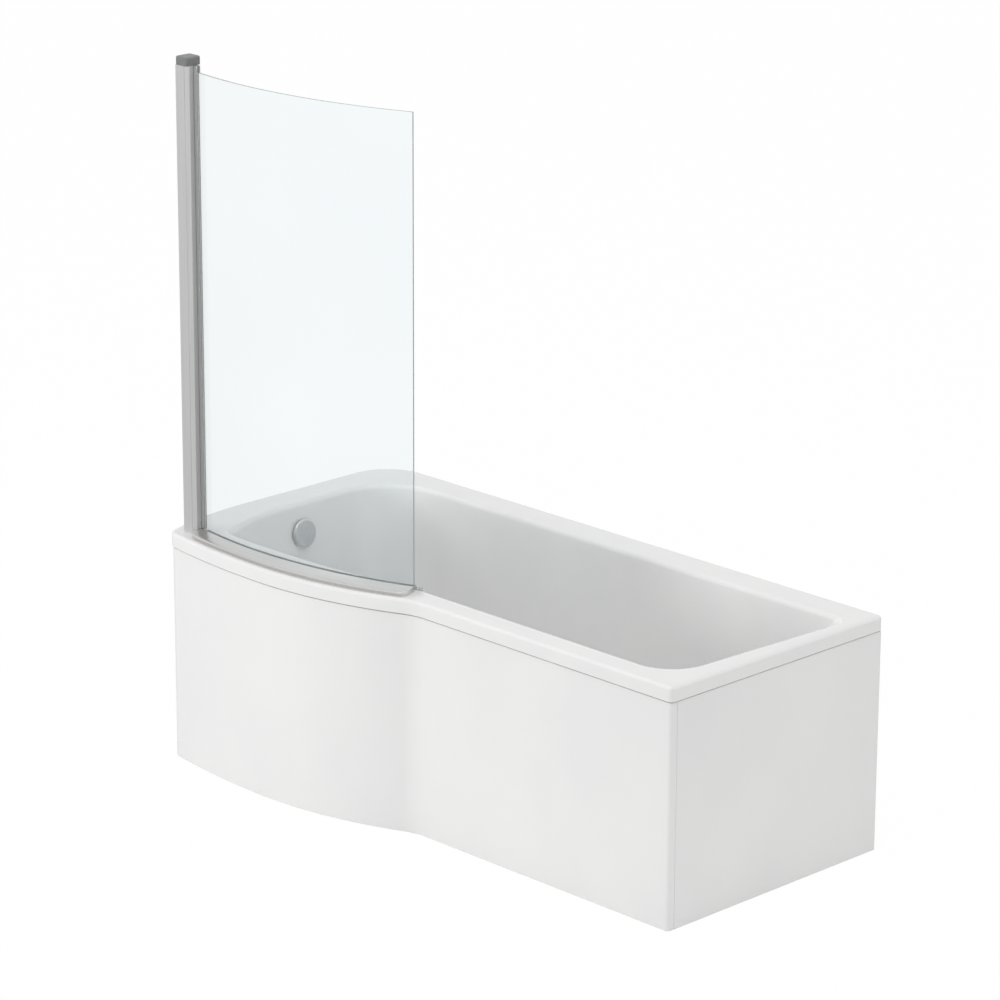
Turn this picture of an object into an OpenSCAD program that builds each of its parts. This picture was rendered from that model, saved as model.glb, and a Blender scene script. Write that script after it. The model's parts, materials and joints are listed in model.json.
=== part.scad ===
// P-shaped shower bath with a curved hinged screen.
// Plan: +X is the narrow end, -X the wide shower end, +Y the wall side, -Y the front.
// The origin lies on the floor, under the middle of the bath's length and width.

/* [Bath outline] */
// Length of the bath over the rim
bath_l = 1650; // [1550:10:1750]
// Width over the rim at the wide end, wall to nose
wide_w = 800; // [780:5:850]
// Width over the rim at the narrow end
narrow_w = 700; // [680:5:720]
// Height of the rim above the floor
rim_h = 574; // [540:1:620]
// Distance of the nose of the bow from the wide end
nose_in = 400; // [360:10:440]
// Radius of the bow between the wide end and the nose
bow_r = 2000; // [1700:20:2400]
// Radius of the bow between the nose and the waist
waist_r = 1000; // [900:10:1100]
// Radius of the hollow that blends the bow into the straight front
blend_r = 150; // [100:5:220]
// Radius of the drawn-in front part of the wide end
end_sweep_r = 800; // [700:10:1000]
// Radius of the front corner of the wide end
bow_corner_r = 40; // [30:1:60]
// Radius of the wall corner of the wide end
wall_corner_r = 118; // [90:1:140]
// Radius of the two corners of the narrow end
square_corner_r = 12; // [10:1:20]

/* [Rim and shell] */
// Thickness of the reinforced acrylic
shell_t = 5; // [4:0.5:6]
// Height of the rim's outer face
lip_h = 36; // [30:1:46]
// Radius of the rim's outer top edge
rim_round = 8; // [5:0.5:10]
// Radius of the rim's inner edge
basin_round = 12; // [8:0.5:14]
// Rim width along the wall side
ledge_wall = 86; // [76:1:96]
// Rim width along the straight front
ledge_front = 67; // [62:1:76]
// Share of the rim's bow that the basin follows: the rest widens the rim for the screen
basin_bow = 0.4; // [0.3:0.05:0.5]
// Rim width at the wide end
ledge_wide_end = 98; // [90:1:110]
// Rim width at the wall corner of the narrow end
ledge_narrow_end = 38; // [36:1:50]

/* [Basin] */
// Depth from the rim to the floor at the waste
basin_depth = 406; // [380:2:420]
// Slope of the long walls, degrees from upright
side_slope = 8; // [5:0.5:10]
// Slope of the wall that holds the overflow
waste_slope = 9; // [6:0.5:11]
// Slope of the backrest at the narrow end
back_slope = 25; // [20:0.5:28]
// Radius between the walls and the floor
floor_round = 70; // [50:2:80]
// Fall of the floor towards the waste
floor_fall = 5; // [3:0.5:8]

/* [Panels] */
// Thickness of the panels
panel_t = 3.5; // [3:0.5:5]
// Distance of the panel face behind the rim's face
panel_in = 2.5; // [1:0.5:4]
// Shadow gap between rim and panel
panel_gap = 1.5; // [1:0.5:8]
// Length that the front panel turns round the near corner
panel_return = 22; // [20:1:40]

/* [Frame and feet] */
// Thickness of the board under the floor
board_t = 15; // [12:1:18]
// Width of the timber battens
batten_w = 30; // [24:1:36]
// Height of the cradle rails
rail_h = 30; // [26:1:36]
// Radius of a foot's threaded stud
stud_r = 6; // [5:0.5:8]
// Radius of a foot pad
pad_r = 24; // [18:1:30]
// Travel by which a foot screws out
foot_travel = 20; // [10:1:20]

/* [Waste and overflow] */
// Distance of the waste from the wide end
waste_in = 315; // [300:5:330]
// Depth of the overflow's centre below the rim
overflow_drop = 74; // [64:1:90]
// Radius of the overflow knob
knob_r = 35; // [30:1:38]
// Radius of the waste pipe that the outlet takes
pipe_r = 20; // [16:0.5:21.5]
// Height that the plug lifts
plug_lift = 10; // [6:1:12]

/* [Screen] */
// Distance of the wall channel from the wide end
post_in = 77; // [70:1:90]
// Distance of the channel's front from the nose line
post_back = 55; // [52:1:60]
// Width of the wall channel along the bath
channel_d = 31; // [30:1:34]
// Height of the wall channel
post_h = 1143; // [1000:1:1500]
// Height of the top cap
cap_h = 21; // [19:1:30]
// Angle of the glass at the post, towards the front
glass_turn = 10.6; // [10:0.1:12]
// Outer radius of the bent glass
glass_r = 1176; // [1120:4:1240]
// Thickness of the glass
glass_t = 6; // [5:0.5:6]
// Developed width of the glass
glass_w = 678; // [620:2:690]
// Height of the rail on the rim
sill_h = 13; // [10:0.5:15]
// Distance of the rail behind the rim's face
sill_in = 11; // [8.5:0.5:14]

/* [Hidden] */
$fn = 96;

// Clearances: between parts that are fixed, parts that slide, and faces that pass in motion
fit_gap = 0.1;
run_gap = 0.05;
pass_gap = 0.4;
// Overlap of a cutting tool past the face it cuts
cut = 1;

// ---- Rim outline and basin outlines ----
x_wide = -bath_l / 2;
x_narrow = bath_l / 2;
y_wall = wide_w / 2;
y_nose = -wide_w / 2;
y_front = y_wall - narrow_w;
x_nose = x_wide + nose_in;
// Where the wide end starts to draw in towards the front
sweep_from_wall = 490;
y_sweep = y_wall - sweep_from_wall;

// Points on each arc of an outline, the same for every outline so that they pair up
SQUARE_STEPS = 8;
WALL_STEPS = 10;
SWEEP_STEPS = 5;
CORNER_STEPS = 8;
BOW_STEPS = 7;
WAIST_STEPS = 12;
BLEND_STEPS = 7;

function unit(v) = v / norm(v);
function direction(a) = [cos(a), sin(a)];
function heading(from, to) = atan2(to[1] - from[1], to[0] - from[0]);

// The point at distance r1 from c1 and r2 from c2, on the left on the way from c1 to c2
function meet(c1, r1, c2, r2) =
    let (d = norm(c2 - c1), u = (c2 - c1) / d)
    let (along = (r1 * r1 - r2 * r2 + d * d) / (2 * d))
    let (side = sqrt(r1 * r1 - along * along))
    c1 + along * u + side * [-u[1], u[0]];

// An arc: centre, radius, start and end angle, bulge (1 outwards, -1 inwards), steps, and
// whether it starts where the last one ended
function arc_points(a, inset) =
    [for (i = [(a[6] ? 1 : 0) : a[5]])
        a[0] + (a[1] - a[4] * inset) * direction(a[2] + (a[3] - a[2]) * i / a[5])];

// The eight arcs of a P-shaped outline, anticlockwise from the wall corner of the narrow end.
// box = [wide end x, narrow end x, front y, wall y, nose x, nose y, sweep start y]
// radii = [narrow wall corner, wide wall corner, sweep, front corner, bow, waist, blend, near corner]
function p_arcs(box, radii, lean) =
    let (n = direction(-lean))
    let (c_rear = [box[1] - radii[0], box[3] - radii[0]])
    let (c_near_y = box[2] + radii[7])
    let (reach = n * c_rear + radii[0] - radii[7])
    let (c_near = [(reach - n[1] * c_near_y) / n[0], c_near_y])
    let (c_wall = [box[0] + radii[1], box[3] - radii[1]])
    let (c_sweep = [box[0] + radii[2], box[6]])
    let (c_bow = [box[4], box[5] + radii[4]])
    let (c_waist = [box[4], box[5] + radii[5]])
    let (c_corner = meet(c_sweep, radii[2] - radii[3], c_bow, radii[4] - radii[3]))
    let (blend_y = box[2] - radii[6], reach_r = radii[5] + radii[6])
    let (blend_x = box[4] + sqrt(pow(reach_r, 2) - pow(c_waist[1] - blend_y, 2)))
    let (c_blend = [blend_x, blend_y])
    let (a_sweep = 360 + heading(c_sweep, c_corner), a_bow = 360 + heading(c_bow, c_corner))
    let (a_waist = 360 + heading(c_waist, c_blend))
    [[c_rear, radii[0], -lean, 90, 1, SQUARE_STEPS, false],
     [c_wall, radii[1], 90, 180, 1, WALL_STEPS, false],
     [c_sweep, radii[2], 180, a_sweep, 1, SWEEP_STEPS, false],
     [c_corner, radii[3], a_sweep, a_bow, 1, CORNER_STEPS, true],
     [c_bow, radii[4], a_bow, 270, 1, BOW_STEPS, true],
     [c_waist, radii[5], 270, a_waist, 1, WAIST_STEPS, true],
     [c_blend, radii[6], a_waist - 180, 90, -1, BLEND_STEPS, true],
     [c_near, radii[7], 270, 360 - lean, 1, SQUARE_STEPS, false]];

function outline(arcs, inset) = [for (a = arcs) each arc_points(a, inset)];

rim_arcs = p_arcs(
    [x_wide, x_narrow, y_front, y_wall, x_nose, y_nose, y_sweep],
    [square_corner_r, wall_corner_r, end_sweep_r, bow_corner_r, bow_r, waist_r, blend_r, square_corner_r],
    0);
function rim(inset) = outline(rim_arcs, inset);

// Basin edge, where the rim turns down, and the sole, where wall and floor would meet
basin_nose_in = 315;
// The flat of the end wall reaches this far past the overflow
end_flat = 39;
waste_y = 9;
basin_lean = 3.2;
basin_blend_r = 300;
edge_rear_r = 37;
edge_wall_r = 140;
edge_sweep_r = 510;
edge_corner_r = 18;
edge_bow_r = 2600;
edge_near_r = 95;
edge_front = y_front + ledge_front;
edge_box = [x_wide + ledge_wide_end, x_narrow - ledge_narrow_end, edge_front, y_wall - ledge_wall,
    x_wide + basin_nose_in, edge_front - basin_bow * (wide_w - narrow_w), waste_y - end_flat];
edge_arcs = p_arcs(edge_box,
    [edge_rear_r, edge_wall_r, edge_sweep_r, edge_corner_r, edge_bow_r, edge_bow_r, basin_blend_r, edge_near_r],
    basin_lean);

floor_z = rim_h - basin_depth;
sole_z = floor_z + floor_fall;
sole_drop = rim_h - sole_z;
side_draw = sole_drop * tan(side_slope);
waste_draw = sole_drop * tan(waste_slope);
back_draw = sole_drop * tan(back_slope);
sole_box = [edge_box[0] + waste_draw, edge_box[1] - back_draw, edge_box[2] + side_draw, edge_box[3] - side_draw,
    edge_box[4], edge_box[5] + side_draw, edge_box[6]];
sole_rear_r = 120;
sole_wall_r = 190;
sole_sweep_r = 455;
sole_corner_r = 110;
sole_bow_r = 2540;
sole_near_r = 150;
sole_arcs = p_arcs(sole_box,
    [sole_rear_r, sole_wall_r, sole_sweep_r, sole_corner_r, sole_bow_r, sole_bow_r, basin_blend_r, sole_near_r],
    basin_lean);

function at_height(points, z) = [for (p = points) [p[0], p[1], z]];
function mix(a, b, t) = [for (i = [0 : len(a) - 1]) a[i] * (1 - t) + b[i] * t];
// A curve from ring a to ring c that leaves and arrives along the lines through ring b
function bend(a, b, c, t) = mix(mix(a, b, t), mix(b, c, t), t);

// Ring of the basin wall at a depth below the rim; grow moves it outwards
function wall_ring(depth, grow) =
    mix(at_height(outline(edge_arcs, -grow), rim_h),
        at_height(outline(sole_arcs, -grow), sole_z), depth / sole_drop);

// Closed solid through a list of rings with equally many points: the first ring faces down
module loft(rings) {
    n = len(rings[0]);
    last = (len(rings) - 1) * n;
    sides = [for (j = [0 : len(rings) - 2], i = [0 : n - 1])
        let (k = (i + 1) % n, a = j * n)
        each [[a + i, a + n + k, a + k], [a + i, a + n + i, a + n + k]]];
    base = [for (i = [0 : n - 1]) i];
    top = [for (i = [0 : n - 1]) last + n - 1 - i];
    polyhedron(points = [for (r = rings) each r], faces = concat([base], sides, [top]), convexity = 10);
}

// Flat plate with a rim-shaped outline
module rim_plate(inset, z0, height) {
    translate([0, 0, z0])
        linear_extrude(height)
            polygon(rim(inset));
}

// Tube or ring about +Z
module ring(r_out, r_in, z0, z1) {
    difference() {
        translate([0, 0, z0])
            cylinder(r = r_out, h = z1 - z0);
        translate([0, 0, z0 - cut])
            cylinder(r = r_in, h = z1 - z0 + 2 * cut);
    }
}

module box(low, high) {
    translate(low)
        cube(high - low);
}

// ---- Bath shell ----
lip_z = rim_h - lip_h;
under_z = rim_h - shell_t;
board_top = floor_z - shell_t;
WALL_LEVELS = 4;
ROUND_STEPS = 5;
BEND_STEPS = 6;

waste_x = x_wide + waste_in;
waste_seat_r = 37;
waste_seat_depth = 2;
waste_hole_r = 21.6;

overflow_z = rim_h - overflow_drop;
overflow_x = edge_box[0] + overflow_drop * tan(waste_slope);
overflow_hole_r = 16;

// Frame on the inner face of the end wall, +Z into the basin
module at_overflow() {
    translate([overflow_x, waste_y, overflow_z])
        rotate([0, 90 - waste_slope, 0])
            children();
}

// Circle of points round the waste, one towards each point of a ring
function dish_ring(points, r, z) =
    let (c = [waste_x, waste_y])
    [for (p = points) let (q = c + r * unit([p[0], p[1]] - c)) [q[0], q[1], z]];

module bath_shell() {
    under_edge = at_height(outline(edge_arcs, -basin_round), under_z);
    under_corner = wall_ring(shell_t, shell_t);
    under_foot = wall_ring(rim_h - board_top, shell_t);
    under_floor = at_height(outline(sole_arcs, floor_round), board_top);
    top_edge = at_height(outline(edge_arcs, -basin_round), rim_h);
    top_corner = at_height(outline(edge_arcs, 0), rim_h);
    top_foot = at_height(outline(sole_arcs, 0), sole_z);
    top_floor = at_height(outline(sole_arcs, floor_round), sole_z);
    deep = sole_drop - floor_round;
    outside = concat(
        [for (i = [0 : BEND_STEPS]) bend(under_floor, under_foot, wall_ring(deep, shell_t), i / BEND_STEPS)],
        [for (i = [0 : ROUND_STEPS])
            bend(wall_ring(basin_round + shell_t, shell_t), under_corner, under_edge, i / ROUND_STEPS)],
        [at_height(rim(shell_t), under_z), at_height(rim(shell_t), lip_z), at_height(rim(0), lip_z)]);
    rounding = [for (i = [0 : ROUND_STEPS])
        let (a = 90 * i / ROUND_STEPS)
        at_height(rim(rim_round * (1 - cos(a))), rim_h - rim_round * (1 - sin(a)))];
    inside = concat(
        [for (i = [0 : ROUND_STEPS]) bend(top_edge, top_corner, wall_ring(basin_round, 0), i / ROUND_STEPS)],
        [for (i = [1 : WALL_LEVELS]) wall_ring(basin_round + (deep - basin_round) * i / WALL_LEVELS, 0)],
        [for (i = [1 : BEND_STEPS]) bend(wall_ring(deep, 0), top_foot, top_floor, i / BEND_STEPS)],
        [dish_ring(top_floor, waste_seat_r + 6, floor_z)]);
    color("white")
        difference() {
            loft(concat(outside, rounding, inside));
            translate([waste_x, waste_y, floor_z - waste_seat_depth])
                cylinder(r = waste_seat_r, h = waste_seat_depth + cut);
            translate([waste_x, waste_y, board_top - cut])
                cylinder(r = waste_hole_r, h = shell_t + 2 * cut);
            at_overflow()
                translate([0, 0, -2 * shell_t])
                    cylinder(r = overflow_hole_r, h = 4 * shell_t);
        }
}

// ---- Board and battens under the shell ----
board_z = board_top - board_t;
board_in = 10;
board_hole_r = 44;
board_end_x = sole_box[1] - floor_round - board_in;

module base_board() {
    color("burlywood")
        difference() {
            translate([0, 0, board_z])
                linear_extrude(board_t)
                    polygon(outline(sole_arcs, floor_round + board_in));
            translate([waste_x, waste_y, board_z - cut])
                cylinder(r = board_hole_r, h = board_t + 2 * cut);
        }
}

// The battens lie under the rim, just inside the lip
batten_in = shell_t + 2;
batten_h = under_z - lip_z;

module rim_batten_back() {
    color("burlywood")
        box([x_wide + wall_corner_r, y_wall - batten_in - batten_w, lip_z],
            [x_narrow - batten_in - batten_w, y_wall - batten_in, under_z]);
}

module rim_batten_wide_end() {
    color("burlywood")
        box([x_wide + batten_in, y_sweep + 30, lip_z],
            [x_wide + batten_in + batten_w, y_wall - wall_corner_r, under_z]);
}

narrow_batten_w = ledge_narrow_end - batten_in - basin_round - 2;
module rim_batten_narrow_end() {
    color("burlywood")
        box([x_narrow - batten_in - narrow_batten_w, y_front + batten_in + batten_w + 2, lip_z],
            [x_narrow - batten_in, y_wall - batten_in - 2, under_z]);
}

front_batten_start = rim_arcs[6][0][0] + 20;
module rim_batten_front() {
    color("burlywood")
        box([front_batten_start, y_front + batten_in, lip_z],
            [x_narrow - batten_in - 10, y_front + batten_in + batten_w, under_z]);
}

// Curved strip along the bow, between two insets and two lengths along the bath
bow_from_end = 150;
bow_past_nose = 230;
bow_from = x_wide + bow_from_end;
bow_to = x_nose + bow_past_nose;
module bow_strip(inset, width, z0, height) {
    intersection() {
        difference() {
            rim_plate(inset, z0, height);
            rim_plate(inset + width, z0 - cut, height + 2 * cut);
        }
        box([bow_from, y_nose, z0 - cut], [bow_to, y_front + 60, z0 + height + cut]);
    }
}

module rim_batten_bow() {
    color("burlywood")
        bow_strip(batten_in, batten_w, lip_z, batten_h);
}

// ---- Cradle rails, feet and their fasteners ----
rail_w = 40;
rail_t = 2.5;
rail_top = board_z;
rail_z = rail_top - rail_h;
rail_past_waste = 170;
rail_from_board_end = 80;
rail_left_x = waste_x + rail_past_waste;
rail_right_x = board_end_x - rail_from_board_end;
foot_from_wall = 164;
foot_from_nose = 204;
foot_from_front = 142;
foot_back_y = y_wall - foot_from_wall;
foot_left_y = y_nose + foot_from_nose;
foot_right_y = y_front + foot_from_front;
rail_over = 25;
stud_gap = 0.3;
rail_screw_y = 90;

module cradle_rail(x, y_low) {
    y0 = y_low - rail_over;
    y1 = foot_back_y + rail_over;
    color("silver")
        difference() {
            box([x - rail_w / 2, y0, rail_z], [x + rail_w / 2, y1, rail_top]);
            box([x - rail_w / 2 + rail_t, y0 - cut, rail_z - cut],
                [x + rail_w / 2 - rail_t, y1 + cut, rail_top - rail_t]);
            for (y = [y_low, foot_back_y])
                translate([x, y, rail_top - 2 * rail_t])
                    cylinder(r = stud_r + stud_gap, h = 4 * rail_t);
            for (y = [-rail_screw_y, rail_screw_y])
                translate([x, y, rail_top - 2 * rail_t])
                    cylinder(r = screw_r + fit_gap, h = 4 * rail_t);
        }
}

module cradle_rail_left() cradle_rail(rail_left_x, foot_left_y);
module cradle_rail_right() cradle_rail(rail_right_x, foot_right_y);

// Pan-head screw: head below z = 0, shank above it
screw_r = 2;
screw_head_r = 4.5;
screw_head_h = 2.5;
module screw(length) {
    color("silver") {
        translate([0, 0, -screw_head_h])
            cylinder(r = screw_head_r, h = screw_head_h);
        cylinder(r = screw_r, h = length);
    }
}

module rail_screws() {
    for (x = [rail_left_x, rail_right_x], y = [-rail_screw_y, rail_screw_y])
        translate([x, y, rail_top - rail_t])
            screw(rail_t);
}

centre_x = (rail_left_x + rail_right_x) / 2;
centre_y = (foot_back_y + foot_right_y) / 2;
centre_w = 60;
nut_r = 10;
nut_h = 9;

module centre_bracket() {
    color("silver")
        translate([centre_x, centre_y, 0])
            difference() {
                union() {
                    box([-centre_w, -centre_w / 2, rail_top - rail_t], [centre_w, centre_w / 2, rail_top]);
                    box([-centre_w / 2, -centre_w / 2, rail_z], [centre_w / 2, centre_w / 2, rail_top]);
                }
                box([-centre_w / 2 + rail_t, -centre_w / 2 - cut, rail_z + rail_t],
                    [centre_w / 2 - rail_t, centre_w / 2 + cut, rail_top - rail_t]);
                translate([0, 0, rail_z - cut])
                    cylinder(r = stud_r + stud_gap, h = rail_t + 2 * cut);
            }
}

// Where each foot stands, and the top face of the nut that carries it
FEET = [[rail_left_x, foot_left_y], [rail_left_x, foot_back_y],
    [rail_right_x, foot_right_y], [rail_right_x, foot_back_y], [centre_x, centre_y]];
nut_top = rail_top - rail_t;
centre_nut_top = rail_z + rail_t + nut_h;

module lock_nuts() {
    color("silver")
        for (i = [0 : 4])
            translate([FEET[i][0], FEET[i][1], (i == 4 ? centre_nut_top : nut_top) - nut_h])
                difference() {
                    cylinder(r = nut_r, h = nut_h, $fn = 6);
                    translate([0, 0, -cut])
                        cylinder(r = stud_r + stud_gap, h = nut_h + 2 * cut);
                }
}

pad_h = 12;
pad_socket = 8;
stud_foot_z = pad_h - pad_socket;
// The stud still fills its nut when the foot is screwed right out
stud_top = nut_top - nut_h + 4 + foot_travel;
centre_stud_top = centre_nut_top - nut_h + 4 + foot_travel;

module foot_stud(i) {
    color("silver")
        translate([FEET[i][0], FEET[i][1], stud_foot_z])
            cylinder(r = stud_r, h = (i == 4 ? centre_stud_top : stud_top) - stud_foot_z);
}

module foot_pad(i) {
    chamfer = 2;
    color("dimgray")
        translate([FEET[i][0], FEET[i][1], 0])
            rotate_extrude()
                polygon([[0, 0], [pad_r - chamfer, 0], [pad_r, chamfer], [pad_r, 5], [stud_r + 6, 7],
                    [stud_r + 5, pad_h], [stud_r + fit_gap, pad_h], [stud_r + fit_gap, stud_foot_z],
                    [0, stud_foot_z]]);
}

// ---- Panels and what holds them ----
panel_top = lip_z - panel_gap;
panel_back = panel_in + panel_t;
panel_past_sweep = 40;
panel_start_y = y_sweep - panel_past_sweep;
near_turn = y_front + panel_return;

// Line of the front panel at an inset: from the wide end, round the bow, to past the near corner
function panel_line(inset) =
    let (sweep = rim_arcs[2], start = 180 + asin((y_sweep - panel_start_y) / sweep[1]))
    concat(
        [for (i = [0 : SWEEP_STEPS])
            sweep[0] + (sweep[1] - inset) * direction(start + (sweep[3] - start) * i / SWEEP_STEPS)],
        [for (j = [3 : 7]) each arc_points(rim_arcs[j], inset)],
        [[x_narrow - inset, near_turn]]);

module front_panel() {
    face = panel_line(panel_in);
    back = panel_line(panel_back);
    color("white")
        linear_extrude(panel_top)
            polygon(concat(face, [for (i = [1 : len(back)]) back[len(back) - i]]));
}

module end_panel() {
    color("white")
        box([x_narrow - panel_back, near_turn + 0.5, 0], [x_narrow - panel_in, y_wall - panel_in, panel_top]);
}

// Angle clip: one leg under the batten, one leg behind the panel; the panel face is at y = 0
clip_w = 30;
clip_t = 3;
clip_drop = 36;
module clip() {
    box([-clip_w / 2, panel_t, lip_z - clip_t], [clip_w / 2, panel_t + 34, lip_z]);
    box([-clip_w / 2, panel_t, lip_z - clip_drop], [clip_w / 2, panel_t + clip_t, lip_z - clip_t]);
}

// Places a clip on one of the two arcs of the bow, at an angle from the nose. The ends of the
// flat clip just clear the bent panel.
bow_clip_gap = 0.4;
module on_bow(arc, a) {
    translate(rim_arcs[arc][0])
        rotate([0, 0, a])
            translate([0, panel_in + bow_clip_gap - rim_arcs[arc][1], 0])
                children();
}

module panel_clips() {
    color("whitesmoke") {
        for (i = [1, 3, 5])
            translate([front_batten_start + (x_narrow - front_batten_start) * i / 6, y_front + panel_in, 0])
                clip();
        on_bow(4, -5)
            clip();
        on_bow(5, 0)
            clip();
        on_bow(5, 11)
            clip();
        for (i = [1, 3, 5])
            translate([x_narrow - panel_in, y_front + narrow_w * i / 6, 0])
                rotate([0, 0, 90])
                    clip();
    }
}

floor_batten_h = 25;
module floor_batten_front() {
    color("burlywood") {
        bow_strip(panel_back, batten_w, 0, floor_batten_h);
        box([front_batten_start + 30, y_front + panel_back, 0],
            [x_narrow - panel_back - batten_w - 5, y_front + panel_back + batten_w, floor_batten_h]);
    }
}

module floor_batten_end() {
    color("burlywood")
        box([x_narrow - panel_back - batten_w, y_front + panel_back + 20, 0],
            [x_narrow - panel_back, y_wall - 30, floor_batten_h]);
}

// ---- Brackets that hold the rim to the wall ----
bracket_x = 500;
bracket_w = 40;
bracket_t = 3;
bracket_drop = 60;
bracket_hole_r = 3;
bracket_hole_z = lip_z - 40;

module wall_brackets() {
    color("silver")
        for (x = [-bracket_x, bracket_x])
            difference() {
                union() {
                    box([x - bracket_w / 2, y_wall - bracket_t, lip_z - bracket_drop],
                        [x + bracket_w / 2, y_wall, lip_z]);
                    box([x - bracket_w / 2, y_wall - batten_in - batten_w, lip_z - bracket_t],
                        [x + bracket_w / 2, y_wall, lip_z]);
                }
                translate([x, y_wall + cut, bracket_hole_z])
                    rotate([90, 0, 0])
                        cylinder(r = bracket_hole_r, h = bracket_t + 2 * cut);
                translate([x, y_wall - batten_in - batten_w / 2, lip_z - bracket_t - cut])
                    cylinder(r = screw_r + fit_gap, h = bracket_t + 2 * cut);
            }
}

module bracket_screws() {
    for (x = [-bracket_x, bracket_x])
        translate([x, y_wall - batten_in - batten_w / 2, lip_z - bracket_t])
            screw(bracket_t);
}

// ---- Waste, plug and trap ----
flange_r = waste_seat_r - 1;
flange_t = 3;
seat_z = floor_z - waste_seat_depth;
flange_top = seat_z + flange_t;
tail_r = 21;
tail_bore = 18.5;
gasket_t = 3;
body_top = board_top - gasket_t;
body_r = 27;
body_flange_r = 36;
body_bottom = body_top - 72;
tail_end = body_top - 34;
inlet_z = tail_end - 14;
spigot_r = 13;
spigot_bore = 10.5;
hose_r = 15;
cable_r = 2.5;
cable_y = 18;
cable_z = inlet_z - 14;
stem_r = 3;
hub_r = 7;
guide_top = body_bottom + 22;
// The lifted stem still sits in its guide by this much
stem_grip = 6;
stem_end = guide_top - stem_grip - plug_lift;
outlet_r = 19;
outlet_bore = 16;

module at_waste() {
    translate([waste_x, waste_y, 0])
        children();
}

module waste_flange() {
    color("silver")
        at_waste()
            rotate_extrude()
                polygon([[tail_bore, tail_end], [tail_r, tail_end], [tail_r, seat_z], [flange_r, seat_z],
                    [flange_r, flange_top - 1], [flange_r - 2, flange_top], [tail_bore, flange_top]]);
}

module waste_gasket() {
    color("dimgray")
        at_waste()
            ring(body_flange_r - 1, tail_r + fit_gap, body_top, board_top);
}

module waste_body() {
    color("white")
        at_waste()
            difference() {
                union() {
                    ring(body_flange_r, tail_r + fit_gap, body_top - 4, body_top);
                    ring(body_r, tail_r + fit_gap, body_bottom, body_top - 4);
                    ring(body_r, outlet_bore, body_bottom, body_bottom + 4);
                    ring(outlet_r, outlet_bore, body_bottom - 22, body_bottom);
                    translate([-body_r - 26, 0, inlet_z])
                        rotate([0, 90, 0])
                            cylinder(r = spigot_r, h = 30);
                    translate([-body_r - 8, cable_y, cable_z])
                        rotate([0, 90, 0])
                            cylinder(r = cable_r + 2.5, h = 16);
                    ring(hub_r, stem_r + run_gap, guide_top - 10, guide_top);
                    for (a = [30, 150, 270])
                        rotate([0, 0, a])
                            box([hub_r - 1, -1.5, guide_top - 9], [tail_r + 1, 1.5, guide_top - 3]);
                }
                translate([-body_r - 27, 0, inlet_z])
                    rotate([0, 90, 0])
                        cylinder(r = spigot_bore, h = 36);
                translate([-body_r - 9, cable_y, cable_z])
                    rotate([0, 90, 0])
                        cylinder(r = cable_r + fit_gap, h = 12);
            }
}

plug_z = flange_top + 2;
plug_r = 31;
plug_t = 5;
seal_r = 24;
plug_hub_r = 14;

module plug() {
    color("silver")
        at_waste()
            rotate_extrude()
                polygon([[0, stem_end], [stem_r, stem_end], [stem_r, flange_top - 8],
                    [plug_hub_r, flange_top - 4], [plug_hub_r, plug_z], [plug_r, plug_z],
                    [plug_r, plug_z + 2], [plug_r - 3, plug_z + plug_t], [0, plug_z + plug_t]]);
}

module plug_seal() {
    color("dimgray")
        at_waste()
            ring(seal_r, plug_hub_r + fit_gap, flange_top + 0.3, plug_z);
}

trap_top = body_bottom - 8;
trap_z = 14;
trap_r = 34;
trap_wall = 3;
socket_r = pipe_r + 4;
socket_gap = 0.15;
socket_z = trap_z + pipe_r + 8;
socket_from = trap_r - 6;
socket_to = trap_r + 40;
socket_depth = 26;
nut_grip = 4;

module trap_body() {
    color("white")
        at_waste()
            difference() {
                union() {
                    difference() {
                        translate([0, 0, trap_z])
                            cylinder(r = trap_r, h = trap_top - trap_z);
                        translate([0, 0, trap_z + trap_wall])
                            cylinder(r = trap_r - trap_wall, h = trap_top - trap_z - 2 * trap_wall);
                    }
                    translate([0, socket_from, socket_z])
                        rotate([-90, 0, 0])
                            cylinder(r = socket_r, h = socket_to - socket_from);
                    ring(outlet_r + 2.5, outlet_r + fit_gap, trap_z + 14, trap_top - trap_wall);
                }
                translate([0, 0, trap_top - 2 * trap_wall])
                    cylinder(r = outlet_r + fit_gap, h = 3 * trap_wall);
                translate([0, socket_from - 2, socket_z])
                    rotate([-90, 0, 0])
                        cylinder(r = pipe_r - 3, h = socket_to);
                translate([0, socket_to - socket_depth, socket_z])
                    rotate([-90, 0, 0])
                        cylinder(r = pipe_r + socket_gap, h = socket_depth + cut);
            }
}

module trap_nut() {
    color("whitesmoke")
        at_waste()
            ring(outlet_r + 8, outlet_r + fit_gap, trap_top, trap_top + 7);
}

module outlet_nut() {
    color("whitesmoke")
        at_waste()
            translate([0, socket_to, socket_z])
                rotate([-90, 0, 0])
                    union() {
                        ring(socket_r + nut_grip, socket_r + fit_gap, -16, 0);
                        ring(socket_r + nut_grip, pipe_r + 4 * socket_gap, 0, 4);
                    }
}

// ---- Overflow: knob, collar, elbow, hose and cable ----
knob_h = 12;
knob_gap = 4;
spindle_r = 4;
collar_r = 28;
collar_t = 3;
neck_r = 15;
neck_bore = 12.5;
neck_end = -22;
elbow_r = 23;
elbow_bore = 20;
elbow_flange_r = 28;
elbow_end = -48;
drum_z = -36;
elbow_face = -shell_t / cos(waste_slope) - gasket_t;

module overflow_knob() {
    color("silver")
        at_overflow()
            rotate_extrude()
                polygon([[0, drum_z - 2], [spindle_r, drum_z - 2], [spindle_r, knob_h - 4], [knob_r - 4, knob_h - 4],
                    [knob_r - 4, knob_gap], [knob_r, knob_gap], [knob_r, knob_h - 3], [knob_r - 3, knob_h],
                    [0, knob_h]]);
}

module cable_drum() {
    color("whitesmoke")
        at_overflow()
            ring(10, spindle_r, drum_z - 2, drum_z + 4);
}

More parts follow.
